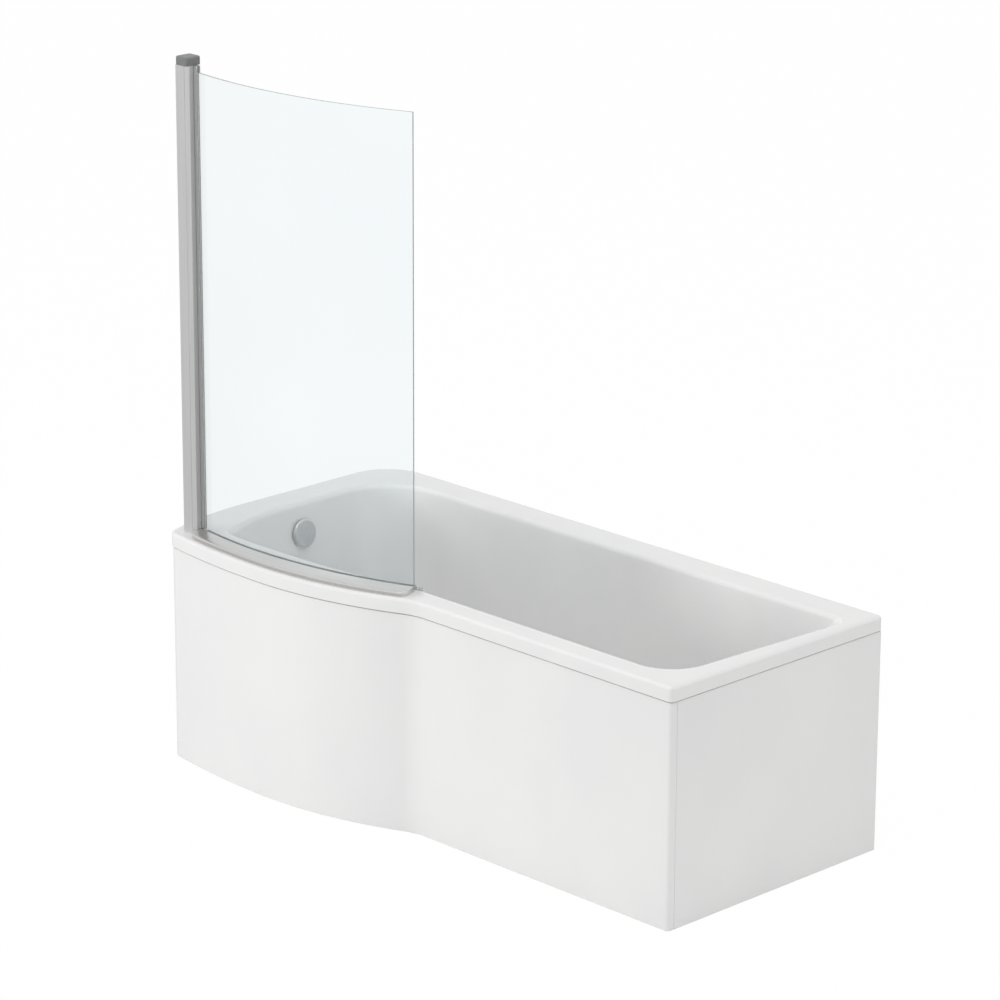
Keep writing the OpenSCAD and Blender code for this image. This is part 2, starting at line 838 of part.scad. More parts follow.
module overflow_collar() {
    color("silver")
        at_overflow() {
            ring(collar_r, neck_bore, 0, collar_t);
            ring(neck_r, neck_bore, neck_end, 0);
            ring(spindle_r + 3, spindle_r + run_gap, -6, collar_t);
            for (a = [90, 210, 330])
                rotate([0, 0, a])
                    box([spindle_r + 2, -1.5, -5], [neck_bore + 1, 1.5, 1]);
        }
}

module overflow_gasket() {
    color("dimgray")
        at_overflow()
            ring(elbow_flange_r - 1, overflow_hole_r, elbow_face, elbow_face + gasket_t);
}

// Plan position and height of the elbow's outlet
drop_x = overflow_x - 36 * cos(waste_slope);
drop_z = overflow_z - 36 * sin(waste_slope);
cable_x = drop_x - 6;

module overflow_elbow() {
    color("white")
        difference() {
            union() {
                at_overflow() {
                    translate([0, 0, elbow_face - 4])
                        cylinder(r = elbow_flange_r, h = 4);
                    translate([0, 0, elbow_end])
                        cylinder(r = elbow_r, h = elbow_face - 4 - elbow_end);
                }
                translate([drop_x, waste_y, drop_z - 52])
                    cylinder(r = spigot_r, h = 40);
                translate([cable_x, waste_y + cable_y, drop_z - 26])
                    cylinder(r = cable_r + 2.5, h = 20);
            }
            at_overflow() {
                translate([0, 0, neck_end - 2])
                    cylinder(r = neck_r + fit_gap, h = -neck_end + cut);
                translate([0, 0, elbow_end + 3])
                    cylinder(r = elbow_bore, h = neck_end - elbow_end - 3);
            }
            translate([drop_x, waste_y, drop_z - 53])
                cylinder(r = spigot_bore, h = 50);
            translate([cable_x, waste_y + cable_y, drop_z - 27])
                cylinder(r = cable_r + fit_gap, h = 17);
        }
}

// Pipe that drops at x0 from z0, turns with a bend radius and runs level at z1 to x1
module dropped_pipe(r_out, r_in, bend_r, x0, y, z0, x1, z1) {
    translate([x0, y, z1 + bend_r])
        ring(r_out, r_in, 0, z0 - z1 - bend_r);
    translate([x0 + bend_r, y, z1 + bend_r])
        rotate([90, 0, 0])
            rotate([0, 0, 180])
                rotate_extrude(angle = 90)
                    difference() {
                        translate([bend_r, 0])
                            circle(r = r_out);
                        translate([bend_r, 0])
                            circle(r = r_in);
                    }
    translate([x0 + bend_r, y, z1])
        rotate([0, 90, 0])
            ring(r_out, r_in, 0, x1 - x0 - bend_r);
}

module overflow_hose() {
    color("gainsboro")
        dropped_pipe(hose_r, spigot_r + fit_gap, 70, drop_x, waste_y,
            drop_z - 27, waste_x - body_r - 2, inlet_z);
}

// Sheath of the cable, with its wire as a solid core of a hair's breadth less
module control_cable() {
    bend_r = 84;
    x1 = waste_x - body_r + 1;
    z0 = drop_z - 16;
    color("dimgray") {
        translate([cable_x, waste_y + cable_y, cable_z + bend_r])
            cylinder(r = cable_r, h = z0 - cable_z - bend_r);
        translate([cable_x + bend_r, waste_y + cable_y, cable_z + bend_r])
            rotate([90, 0, 0])
                rotate([0, 0, 180])
                    rotate_extrude(angle = 90)
                        translate([bend_r, 0])
                            circle(r = cable_r);
        translate([cable_x + bend_r, waste_y + cable_y, cable_z])
            rotate([0, 90, 0])
                cylinder(r = cable_r, h = x1 - cable_x - bend_r);
    }
}

// ---- Screen: fixed profiles ----
channel_x = x_wide + post_in;
channel_y = y_nose + post_back;
channel_w = 24;
channel_t = 2;
channel_top = rim_h + post_h;
slide_gap = 0.2;
rear_flange_d = 15;
channel_hole_r = 2.75;
hole_from_end = 100;
CHANNEL_HOLES = [hole_from_end, post_h / 2, post_h - hole_from_end];
hole_y = channel_y + channel_w / 2;

module wall_channel() {
    color("silver")
        difference() {
            union() {
                box([channel_x, channel_y, rim_h],
                    [channel_x + channel_t, channel_y + channel_w, channel_top]);
                box([channel_x, channel_y, rim_h],
                    [channel_x + channel_d, channel_y + channel_t, channel_top]);
                box([channel_x, channel_y + channel_w - channel_t, rim_h],
                    [channel_x + rear_flange_d, channel_y + channel_w, channel_top]);
            }
            for (h = CHANNEL_HOLES) {
                translate([channel_x - cut, hole_y, rim_h + h])
                    rotate([0, 90, 0])
                        cylinder(r = channel_hole_r, h = channel_t + 2 * cut);
                translate([post_screw_x, channel_y + channel_w + cut, rim_h + h])
                    rotate([90, 0, 0])
                        cylinder(r = screw_r + fit_gap, h = channel_t + 2 * cut);
            }
        }
}

// Hinge post: a hollow body that slides in the channel, and a head outside it whose near corner
// is slanted
post_x0 = channel_x + 9;
head_x0 = channel_x + channel_d + 0.5;
head_w = 8;
post_x1 = head_x0 + head_w;
post_y0 = channel_y + channel_t + slide_gap;
post_y1 = channel_y + channel_w - channel_t - slide_gap;
post_wall = 1.8;
block_h = sill_h + 0.5;
web_t = 2;
web_x = head_x0 - web_t;
post_screw_x = post_x0 + 3;
post_screw_l = 6;
post_screw_head_r = 3.4;
post_screw_head_t = 1.8;

// The larger of the post's two chambers, shrunk on all sides
module post_chamber(shrink, z0, z1) {
    box([post_x0 + post_wall + shrink, post_y0 + post_wall + shrink, z0],
        [web_x - shrink, post_y1 - post_wall - shrink, z1]);
}

// Bar from the post to the hinge axis
module hinge_arm(grow, z0, z1) {
    box([pivot[0] - nose_r - grow, post_y1 - arm_in - grow, z0],
        [pivot[0] + nose_r + grow, pivot[1], z1]);
}

module hinge_post() {
    color("silver")
        difference() {
            translate([0, 0, rim_h])
                linear_extrude(post_h)
                    polygon([[post_x0, post_y0], [head_x0, post_y0], [head_x0, channel_y],
                        [post_x1, channel_y + head_w], [post_x1, post_y1], [post_x0, post_y1]]);
            post_chamber(0, rim_h - cut, channel_top + cut);
            box([web_x + web_t, post_y1 - arm_in, rim_h - cut],
                [post_x1 - post_wall, post_y1 - post_wall, channel_top + cut]);
            hinge_arm(fit_gap, rim_h - cut, rim_h + block_h + fit_gap);
            for (h = CHANNEL_HOLES)
                translate([post_screw_x, post_y1 + cut, rim_h + h])
                    rotate([90, 0, 0])
                        cylinder(r = screw_r + run_gap, h = post_screw_l + cut);
        }
}

module post_screws() {
    for (h = CHANNEL_HOLES)
        translate([post_screw_x, channel_y + channel_w, rim_h + h])
            rotate([90, 0, 0])
                color("silver") {
                    translate([0, 0, -post_screw_head_t])
                        cylinder(r = post_screw_head_r, h = post_screw_head_t);
                    cylinder(r = screw_r, h = post_screw_l);
                }
}

// Hinge axis of the screen, behind the post's head
pivot_from_side = 7.5;
pivot_behind = 9.2;
pivot = [post_x1 - pivot_from_side, post_y1 + pivot_behind];
pin_r = 2.5;
nose_r = 5;
pin_grip = 22;
arm_in = 11;

tongue_h = 20;
module pivot_block_bottom() {
    color("gray")
        difference() {
            union() {
                translate([pivot[0], pivot[1], rim_h])
                    cylinder(r = nose_r, h = block_h);
                hinge_arm(0, rim_h, rim_h + block_h);
                post_chamber(fit_gap, rim_h, rim_h + block_h + tongue_h);
            }
            translate([pivot[0], pivot[1], rim_h + 2])
                cylinder(r = pin_r + run_gap, h = block_h);
        }
}

cap_roof = 4;
module pivot_block_top() {
    top = channel_top + cap_h - cap_roof;
    color("gray")
        difference() {
            union() {
                translate([pivot[0], pivot[1], channel_top])
                    cylinder(r = nose_r, h = top - channel_top);
                hinge_arm(0, channel_top, top);
                box([post_x0, post_y0, channel_top], [head_x0, post_y1, top]);
                post_chamber(fit_gap, channel_top - tongue_h, channel_top + cut);
            }
            translate([pivot[0], pivot[1], channel_top - cut])
                cylinder(r = pin_r + run_gap, h = cap_h - cap_roof - 2);
        }
}

module hinge_pins() {
    color("silver") {
        translate([pivot[0], pivot[1], rim_h + 2])
            cylinder(r = pin_r, h = block_h - 2 + pin_grip);
        translate([pivot[0], pivot[1], channel_top - pin_grip])
            cylinder(r = pin_r, h = pin_grip + cap_h - cap_roof - 3);
    }
}

cap_over = 0.5;
cap_wall = 2.2;
// The cap reaches this far past the hinge, over the clamp's back jaw
cap_back = 6;
module top_cap() {
    low = [channel_x - cap_over, channel_y - cap_over];
    high = [post_x1 + cap_over, pivot[1] + nose_r + cap_wall + cap_over + cap_back];
    edge_r = 6;
    color("dimgray")
        difference() {
            translate([low[0], low[1], channel_top])
                rounded_block(high - low, cap_h, edge_r);
            box([low[0] + cap_wall, low[1] + cap_wall, channel_top - cut],
                [high[0] - cap_wall, high[1] - cap_wall, channel_top + cap_h - cap_roof]);
        }
}

// Block with round upright edges
module rounded_block(size, h, r) {
    for (x = [r, size[0] - r], y = [r, size[1] - r])
        translate([x, y, 0])
            cylinder(r = r, h = h);
    box([r, 0, 0], [size[0] - r, size[1], h]);
    box([0, r, 0], [size[0], size[1] - r, h]);
}

// ---- Screen: swinging parts ----
// Frame of the clamp: the pivot is the origin and x runs along the glass
module at_pivot() {
    translate([pivot[0], pivot[1], 0])
        rotate([0, 0, -glass_turn])
            children();
}

clamp_z0 = rim_h + block_h + pass_gap;
clamp_z1 = channel_top - pass_gap;
// Across the clamp, from the front jaw to the back jaw, with the glass and its rubber between
glass_y = -4.4;
rubber_t = 1.3;
jaw_t = 2.5;
jaw_y = glass_y - fit_gap - rubber_t - jaw_t;
back_rubber_y = glass_y + glass_t + fit_gap;
back_jaw_y = back_rubber_y + rubber_t;
// Along the clamp: web behind the glass's edge, ends of the jaws and of the rubber strips
web_from = 9.8;
pocket_x = 12;
back_jaw_l = 18;
jaw_l = 22;
back_rubber_l = 21;
rubber_l = 27;

module glass_clamp() {
    color("silver")
        at_pivot()
            difference() {
                union() {
                    translate([0, 0, clamp_z0])
                        cylinder(r = nose_r, h = clamp_z1 - clamp_z0);
                    box([0, -nose_r, clamp_z0], [web_from + cut, nose_r, clamp_z1]);
                    box([web_from, jaw_y, clamp_z0], [pocket_x, back_jaw_y + jaw_t, clamp_z1]);
                    box([web_from, jaw_y, clamp_z0], [jaw_l, jaw_y + jaw_t, clamp_z1]);
                    box([web_from, back_jaw_y, clamp_z0], [back_jaw_l, back_jaw_y + jaw_t, clamp_z1]);
                }
                translate([0, 0, clamp_z0 - cut])
                    cylinder(r = pin_r + run_gap, h = pin_grip + cut);
                translate([0, 0, clamp_z1 - pin_grip])
                    cylinder(r = pin_r + run_gap, h = pin_grip + cut);
            }
}

// Centre of the bent glass: the glass runs parallel to the clamp in the middle of its pocket
glass_mid_x = 17;
glass_c = pivot + [cos(glass_turn) * glass_mid_x + sin(glass_turn) * (glass_y + glass_r),
    -sin(glass_turn) * glass_mid_x + cos(glass_turn) * (glass_y + glass_r)];
glass_from = 270 - glass_turn - asin((glass_mid_x - pocket_x - 0.5) / glass_r);
glass_span = glass_w / glass_r * 180 / PI;
glass_to = glass_from + glass_span;
seal_from = 270 - glass_turn + asin((rubber_l + 1 - glass_mid_x) / glass_r);
glass_z0 = rim_h + 9;
glass_z1 = channel_top - 15;

// Bent strip between two radii, two heights and two angles about the centre of the glass
module bent_strip(r_in, r_out, z0, z1, a0, a1) {
    translate([glass_c[0], glass_c[1], 0])
        rotate([0, 0, a0])
            rotate_extrude(angle = a1 - a0, $fn = 360)
                translate([r_in, z0])
                    square([r_out - r_in, z1 - z0]);
}

module glass_panel() {
    color("lightcyan", 0.4)
        bent_strip(glass_r - glass_t, glass_r, glass_z0, glass_z1, glass_from, glass_to);
}

module glass_gasket() {
    color("dimgray")
        at_pivot() {
            box([pocket_x + 0.2, jaw_y + jaw_t, clamp_z0], [rubber_l, glass_y - fit_gap, glass_z1]);
            box([pocket_x + 0.2, back_rubber_y + 0.1, clamp_z0], [back_rubber_l, back_jaw_y, glass_z1]);
        }
}

seal_t = 1.5;
seal_up = 4.5;
seal_base = 4;
module bottom_seal() {
    color("dimgray") {
        difference() {
            bent_strip(glass_r - glass_t - seal_t, glass_r + seal_t, glass_z0 - seal_base, glass_z0 + seal_up,
                seal_from, glass_to);
            bent_strip(glass_r - glass_t, glass_r, glass_z0, glass_z0 + seal_up + cut,
                seal_from - 0.1, glass_to + 0.1);
        }
        bent_strip(glass_r - glass_t / 2 - 1, glass_r - glass_t / 2 + 1, rim_h + pass_gap, glass_z0 - seal_base,
            seal_from, glass_to);
    }
}

// Clear wiper on the free edge of the glass: a strip with two small loops at its foot
edge_seal_l = 5;
tail_l = 22;
module edge_seal() {
    past = glass_r * PI / 180;
    color("gainsboro", 0.6)
        difference() {
            union() {
                bent_strip(glass_r - glass_t, glass_r, glass_z0, glass_z0 + seal_up, glass_to,
                    glass_to + edge_seal_l / past);
                bent_strip(glass_r - glass_t + 1, glass_r - 1, rim_h + pass_gap + 2, glass_z0 + 2, glass_to,
                    glass_to + tail_l / past);
            }
            for (s = [9, 17])
                translate([glass_c[0], glass_c[1], rim_h + pass_gap + 6])
                    rotate([0, 0, glass_to + s / past])
                        translate([glass_r - glass_t, 0, 0])
                            rotate([0, 90, 0])
                                translate([0, 0, -cut])
                                    cylinder(r = 2, h = glass_t + 2 * cut);
        }
}

// ---- Rail on the rim, outside the glass ----
SILL_STEPS = 40;
SILL_END_STEPS = 8;
SILL_PROFILE = [[1, 0], [1, 0.94], [0.58, 1], [0.34, 0.95], [0.16, 0.8], [0.05, 0.55], [0, 0.25], [0, 0]];
sill_glass_gap = seal_t + 0.7;
sill_r = glass_r + sill_glass_gap;
sill_post_gap = 4;
sill_past_glass = 3;
// Lengths over which the outer side rounds in at the post and at the free end, and the shares
// of the full width that are left there
sill_start_l = 45;
sill_start_share = 0.35;
sill_end_l = 18;
sill_end_share = 0.6;

// Distance from the centre of the glass to a circle, in direction u
function reach(c, r, u) =
    let (d = glass_c - c, b = d * u)
    sqrt(b * b - d * d + r * r) - b;
function sill_reach(u) =
    let (bow = reach(rim_arcs[4][0], rim_arcs[4][1] - sill_in, u))
    glass_c[0] + bow * u[0] < x_nose ? bow : reach(rim_arcs[5][0], rim_arcs[5][1] - sill_in, u);

// Share of the full width at a distance d from an end, where share is left at the end itself
function sill_share(d, l, share) =
    d >= l ? 1 : share + (1 - share) * sqrt(1 - pow(1 - d / l, 2));

// Section of the rail at a distance d along the glass from the post, of the total length l
function sill_section(d, l) =
    let (u = direction(sill_from + d / sill_r * 180 / PI))
    let (share = sill_share(d, sill_start_l, sill_start_share) * sill_share(l - d, sill_end_l, sill_end_share))
    let (width = (sill_reach(u) - sill_r) * share)
    [for (p = SILL_PROFILE)
        let (at = glass_c + (sill_r + width * (1 - p[0])) * u)
        [at[0], at[1], rim_h + sill_h * p[1]]];

sill_from = 270 - asin((glass_c[0] - post_x1 - sill_post_gap) / sill_r);

module bottom_rail() {
    length = (glass_to - sill_from) * PI / 180 * sill_r + sill_past_glass;
    straight = length - sill_start_l - sill_end_l;
    steps = concat(
        [for (i = [0 : SILL_END_STEPS - 1]) sill_start_l * (1 - cos(90 * i / SILL_END_STEPS))],
        [for (i = [0 : SILL_STEPS - 1]) sill_start_l + straight * i / SILL_STEPS],
        [for (i = [0 : SILL_END_STEPS]) length - sill_end_l * (1 - sin(90 * i / SILL_END_STEPS))]);
    color("silver")
        loft([for (d = steps) sill_section(d, length)]);
}

bath_shell();
base_board();
rim_batten_back();
rim_batten_wide_end();
rim_batten_narrow_end();
rim_batten_front();
rim_batten_bow();
cradle_rail_left();
cradle_rail_right();
rail_screws();
centre_bracket();
lock_nuts();
foot_stud(0);  // foot_stud_left_front
foot_pad(0);  // foot_pad_left_front
foot_stud(1);  // foot_stud_left_back
foot_pad(1);  // foot_pad_left_back
foot_stud(2);  // foot_stud_right_front
foot_pad(2);  // foot_pad_right_front
foot_stud(3);  // foot_stud_right_back
foot_pad(3);  // foot_pad_right_back
foot_stud(4);  // foot_stud_centre
foot_pad(4);  // foot_pad_centre
front_panel();
end_panel();
panel_clips();
floor_batten_front();
floor_batten_end();
wall_brackets();
bracket_screws();
waste_flange();
waste_gasket();
waste_body();
plug();
plug_seal();
trap_body();
trap_nut();
outlet_nut();
overflow_knob();
cable_drum();
overflow_collar();
overflow_gasket();
overflow_elbow();
overflow_hose();
control_cable();
wall_channel();
hinge_post();
post_screws();
pivot_block_top();
pivot_block_bottom();
hinge_pins();
top_cap();
glass_clamp();
glass_gasket();
glass_panel();
bottom_seal();
edge_seal();
bottom_rail();
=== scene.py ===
import json
from math import asin, atan2, cos, hypot, pi, radians, sin, sqrt, tan

import bmesh
import bpy
from mathutils import Matrix, Vector


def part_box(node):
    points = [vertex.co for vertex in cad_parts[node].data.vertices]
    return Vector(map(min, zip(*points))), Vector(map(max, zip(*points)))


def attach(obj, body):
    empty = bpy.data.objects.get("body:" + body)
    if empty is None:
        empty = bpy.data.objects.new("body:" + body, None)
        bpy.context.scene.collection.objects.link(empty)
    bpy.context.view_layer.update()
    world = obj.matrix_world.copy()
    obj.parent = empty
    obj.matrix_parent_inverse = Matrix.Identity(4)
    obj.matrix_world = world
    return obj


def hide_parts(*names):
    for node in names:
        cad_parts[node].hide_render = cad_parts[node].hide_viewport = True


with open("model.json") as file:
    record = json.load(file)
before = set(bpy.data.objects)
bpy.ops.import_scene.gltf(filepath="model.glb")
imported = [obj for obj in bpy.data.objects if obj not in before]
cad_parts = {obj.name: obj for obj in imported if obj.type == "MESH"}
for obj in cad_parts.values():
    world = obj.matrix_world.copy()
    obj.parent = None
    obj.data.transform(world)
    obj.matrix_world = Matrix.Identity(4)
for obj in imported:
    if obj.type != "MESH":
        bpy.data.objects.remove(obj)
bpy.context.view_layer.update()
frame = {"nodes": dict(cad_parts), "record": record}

scene = bpy.context.scene
MM = 0.001


# ---- Camera ----
# The photograph looks down a little on the near corner of the narrow end through a long lens,
# so that the upright edges stay almost parallel. The lens axis goes through the picture's middle.
CAMERA_AZIMUTH = radians(45.509)
CAMERA_ELEVATION = radians(17.450)
CAMERA_ROLL = radians(0.231)
CAMERA_PLACE = Vector((6.7823, -6.6768, 3.7401))
SENSOR_MM = 36.0
LENS_MM = 154.04
CLIP_END = 60

back = Vector((sin(CAMERA_AZIMUTH) * cos(CAMERA_ELEVATION),
               -cos(CAMERA_AZIMUTH) * cos(CAMERA_ELEVATION), sin(CAMERA_ELEVATION)))
level = Vector((cos(CAMERA_AZIMUTH), sin(CAMERA_AZIMUTH), 0))
upright = back.cross(level)
camera_x = level * cos(CAMERA_ROLL) + upright * sin(CAMERA_ROLL)
camera_y = upright * cos(CAMERA_ROLL) - level * sin(CAMERA_ROLL)
lens = bpy.data.cameras.new("photo_camera")
lens.sensor_width = SENSOR_MM
lens.lens = LENS_MM
lens.clip_end = CLIP_END
camera = bpy.data.objects.new("photo_camera", lens)
camera_turn = Matrix((camera_x, camera_y, back)).transposed().to_4x4()
camera.matrix_world = Matrix.Translation(CAMERA_PLACE) @ camera_turn
scene.collection.objects.link(camera)
scene.camera = camera
scene.view_settings.view_transform = "Standard"


# ---- Studio ----
# A white room: an even dome, a broad soft lamp overhead, a low one in front on the left, and a small
# weak one beyond the narrow end. Panels and rim come out pale, and the basin a little greyer.
def tint(code):
    """The linear colour of an sRGB hex code."""
    parts = [int(code[i:i + 2], 16) / 255 for i in (0, 2, 4)]
    return [p / 12.92 if p <= 0.04045 else ((p + 0.055) / 1.055) ** 2.4 for p in parts] + [1.0]


def add_node(tree, kind, settings=(), values=(), links=()):
    """Adds a shader node, sets its properties and sockets, and links (socket, node, output) into it."""
    made = tree.nodes.new(kind)
    for name, value in dict(settings).items():
        setattr(made, name, value)
    for socket, value in dict(values).items():
        made.inputs[socket].default_value = value
    for socket, source, output in links:
        tree.links.new(source.outputs[output], made.inputs[socket])
    return made


def seen_straight(tree):
    """A node that is 1 for what is seen, straight, in gloss or through glass, and 0 for light."""
    ray = add_node(tree, "ShaderNodeLightPath")
    seen = add_node(tree, "ShaderNodeMath", {"operation": "MAXIMUM"},
                    links=[(0, ray, "Is Camera Ray"), (1, ray, "Is Transmission Ray")])
    return add_node(tree, "ShaderNodeMath", {"operation": "MAXIMUM"},
                    links=[(0, seen, 0), (1, ray, "Is Glossy Ray")])


DOME_STRENGTH = 0.47
world = bpy.data.worlds.new("studio")
scene.world = world
world.use_nodes = True
tree = world.node_tree
tree.nodes.clear()
seen = seen_straight(tree)
WHITE = tint("FFFFFF")
room = add_node(tree, "ShaderNodeBackground", values={"Color": WHITE, "Strength": DOME_STRENGTH})
white = add_node(tree, "ShaderNodeBackground", values={"Color": WHITE, "Strength": 1.0})
either = add_node(tree, "ShaderNodeMixShader", links=[(0, seen, 0), (1, room, 0), (2, white, 0)])
add_node(tree, "ShaderNodeOutputWorld", links=[("Surface", either, 0)])


def add_lamp(name, place, aim, size, power):
    """A square area lamp, turned towards a point. Gloss and metal show the room and not the lamp."""
    light = bpy.data.lights.new(name, "AREA")
    light.shape = "SQUARE"
    light.size = size
    light.energy = power
    lamp = bpy.data.objects.new(name, light)
    turn = (Vector(aim) - Vector(place)).to_track_quat("-Z", "Y").to_matrix().to_4x4()
    lamp.matrix_world = Matrix.Translation(Vector(place)) @ turn
    lamp.visible_camera = False
    lamp.visible_glossy = False
    scene.collection.objects.link(lamp)


OVERHEAD_POWER = 103
FRONT_POWER = 192
SIDE_POWER = 76
add_lamp("overhead", (0.6, -0.6, 5.0), (0.1, 0, 0.5), 4.0, OVERHEAD_POWER)
add_lamp("front", (-3.4, -6.5, 1.5), (0, -0.2, 0.5), 2.6, FRONT_POWER)
add_lamp("side", (7.2, 0.8, 0.75), (0.8, 0, 0.3), 1.2, SIDE_POWER)

# The floor shows white to the camera and keeps a little of the object's shadow. Gloss and metal
# mirror it darker, as they do a studio's floor around the white sweep.
FLOOR_HALF = 12.0
FLOOR_GLOW = 0.99
FLOOR_MIRRORED = 0.64
bm = bmesh.new()
bmesh.ops.create_grid(bm, x_segments=1, y_segments=1, size=FLOOR_HALF)
mesh = bpy.data.meshes.new("floor")
bm.to_mesh(mesh)
bm.free()
floor = bpy.data.objects.new("floor", mesh)
scene.collection.objects.link(floor)
floor_paint = bpy.data.materials.new("white_studio_floor")
floor_paint.use_nodes = True
tree = floor_paint.node_tree
tree.nodes.clear()
seen = seen_straight(tree)
share = add_node(tree, "ShaderNodeMath", {"operation": "MULTIPLY"}, {1: FLOOR_GLOW}, [(0, seen, 0)])
matt = add_node(tree, "ShaderNodeBsdfDiffuse", values={"Color": tint("F8F8F8")})
ray = add_node(tree, "ShaderNodeLightPath")
mirrored = add_node(tree, "ShaderNodeMath", {"operation": "SUBTRACT"},
                    links=[(0, ray, "Is Glossy Ray"), (1, ray, "Is Transmission Ray")])
level = add_node(tree, "ShaderNodeMapRange", values={"To Min": 1.0, "To Max": FLOOR_MIRRORED},
                 links=[("Value", mirrored, 0)])
glow = add_node(tree, "ShaderNodeEmission", values={"Color": WHITE}, links=[("Strength", level, 0)])
both = add_node(tree, "ShaderNodeMixShader", links=[(0, share, 0), (1, matt, 0), (2, glow, 0)])
add_node(tree, "ShaderNodeOutputMaterial", links=[("Surface", both, 0)])
mesh.materials.append(floor_paint)


# ---- Levelling feet ----
# Five zinc-plated M12 studs stand in moulded black pads and screw through the nuts of the cradle.
# The thread is rolled; the pad has a moulded collar round the stud.
def make_finish(name, slot, pattern, grain_mm, low, high, output="Fac", spread=(0.3, 0.7), gloss=None,
                bump_mm=0.0, shape=(), **sockets):
    """A finish for a slot of the record. One pattern, with grains of a size in mm, moves its colour
    between two sRGB codes, and its roughness and its relief where those are given."""
    finish = bpy.data.materials.new(name)
    finish.use_nodes = True
    finish["slot"] = slot
    tree = finish.node_tree
    shader = tree.nodes["Principled BSDF"]
    for socket, value in sockets.items():
        shader.inputs[socket.replace("_", " ")].default_value = value
    where = add_node(tree, "ShaderNodeTexCoord")
    place = add_node(tree, "ShaderNodeMapping", values={"Scale": [1 / (size * MM) for size in grain_mm]},
                     links=[("Vector", where, "Object")])
    texture = add_node(tree, pattern, values={"Scale": 1.0, **dict(shape)}, links=[("Vector", place, 0)])
    share = add_node(tree, "ShaderNodeMapRange", values={"From Min": spread[0], "From Max": spread[1]},
                     links=[("Value", texture, output)])
    # Sockets 6 and 7 and output 2 are the colours of a Mix node
    colour = add_node(tree, "ShaderNodeMix", {"data_type": "RGBA"}, {6: tint(low), 7: tint(high)},
                      [(0, share, 0)])
    tree.links.new(colour.outputs[2], shader.inputs["Base Color"])
    if gloss:
        rough = add_node(tree, "ShaderNodeMapRange", values={"To Min": gloss[0], "To Max": gloss[1]},
                         links=[("Value", share, 0)])
        tree.links.new(rough.outputs[0], shader.inputs["Roughness"])
    if bump_mm:
        relief = add_node(tree, "ShaderNodeBump", values={"Distance": bump_mm * MM, "Strength": 1.0},
                          links=[("Height", share, 0)])
        tree.links.new(relief.outputs[0], shader.inputs["Normal"])
    return finish


# Zinc-plated steel: a dull blue-grey metal with a faint cloudy spangle, 8 mm across
zinc = make_finish("zinc_plated_steel", "zinc_steel", "ShaderNodeTexVoronoi", (8, 8, 8), "A9AEB2",
                   "C3C7CA", output="Color", spread=(0, 1), gloss=(0.3, 0.48), Metallic=1.0)

# Moulded rubber: matt and nearly black. Its grain is drawn 1.2 mm wide, coarser than the real
# spark-eroded one, so that it shows.
black_rubber = make_finish("moulded_black_rubber", "black_rubber", "ShaderNodeTexNoise", (1.2, 1.2, 1.2),
                           "232525", "343737", bump_mm=0.06, Roughness=0.7)

BODIES = frame["record"]["behaviour"]["bodies"]
BODY_OF = {node: body for body, nodes in BODIES.items() for node in nodes}
BEVEL_FROM = radians(50)


def make_piece(name, bm, finishes, node, smooth_to=35, wall_mm=0.0, edge_mm=0.0, segments=3):
    """Makes a bmesh the piece that stands for a CAD node and rides on its body: smooth below an
    angle, with a wall behind its faces and softened edges where they are given."""
    mesh = bpy.data.meshes.new(name)
    bm.to_mesh(mesh)
    bm.free()
    mesh.shade_smooth()
    mesh.set_sharp_from_angle(angle=radians(smooth_to))
    for finish in finishes:
        mesh.materials.append(finish)
    piece = bpy.data.objects.new(name, mesh)
    scene.collection.objects.link(piece)
    if wall_mm:
        wall = piece.modifiers.new("wall", "SOLIDIFY")
        wall.thickness = wall_mm * MM
        wall.offset = -1
        wall.use_even_offset = True
    if edge_mm:
        soft = piece.modifiers.new("soft_edges", "BEVEL")
        soft.width = edge_mm * MM
        soft.segments = segments
        soft.limit_method = "ANGLE"
        soft.angle_limit = BEVEL_FROM
    even = piece.modifiers.new("even_shading", "WEIGHTED_NORMAL")
    even.keep_sharp = True
    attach(piece, BODY_OF[node])
    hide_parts(node)
    return piece


def turned(profile, steps=64):
    """A bmesh turned about +Z from a profile of (radius, height) points in millimetres."""
    bm = bmesh.new()
    line = [bm.verts.new((r * MM, 0, z * MM)) for r, z in profile]
    for a, b in zip(line, line[1:]):
        bm.edges.new((a, b))
    bmesh.ops.spin(bm, geom=bm.verts[:] + bm.edges[:], cent=(0, 0, 0), axis=(0, 0, 1), angle=2 * pi,
                   steps=steps, use_merge=True)
    bmesh.ops.remove_doubles(bm, verts=bm.verts, dist=1e-6)
    bmesh.ops.recalc_face_normals(bm, faces=bm.faces)
    return bm


def rounded(corners, radius, steps=4):
    """A profile whose inner corners are rounded: each corner gives a short curve."""
    points = [corners[0]]
    for before, corner, after in zip(corners, corners[1:], corners[2:]):
        sides = []
        for end in (before, after):
            reach = hypot(end[0] - corner[0], end[1] - corner[1])
            share = min(radius, reach * 0.45) / reach
            sides.append([corner[k] + (end[k] - corner[k]) * share for k in (0, 1)])
        for i in range(steps + 1):
            t = i / steps
            points.append(tuple((1 - t) ** 2 * sides[0][k] + 2 * t * (1 - t) * corner[k] + t * t * sides[1][k]
                                for k in (0, 1)))
    return points + [corners[-1]]


def node_box_mm(node):
    """A CAD node's lowest and highest corners in millimetres."""
    low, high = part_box(node)
    return [c / MM for c in low], [c / MM for c in high]


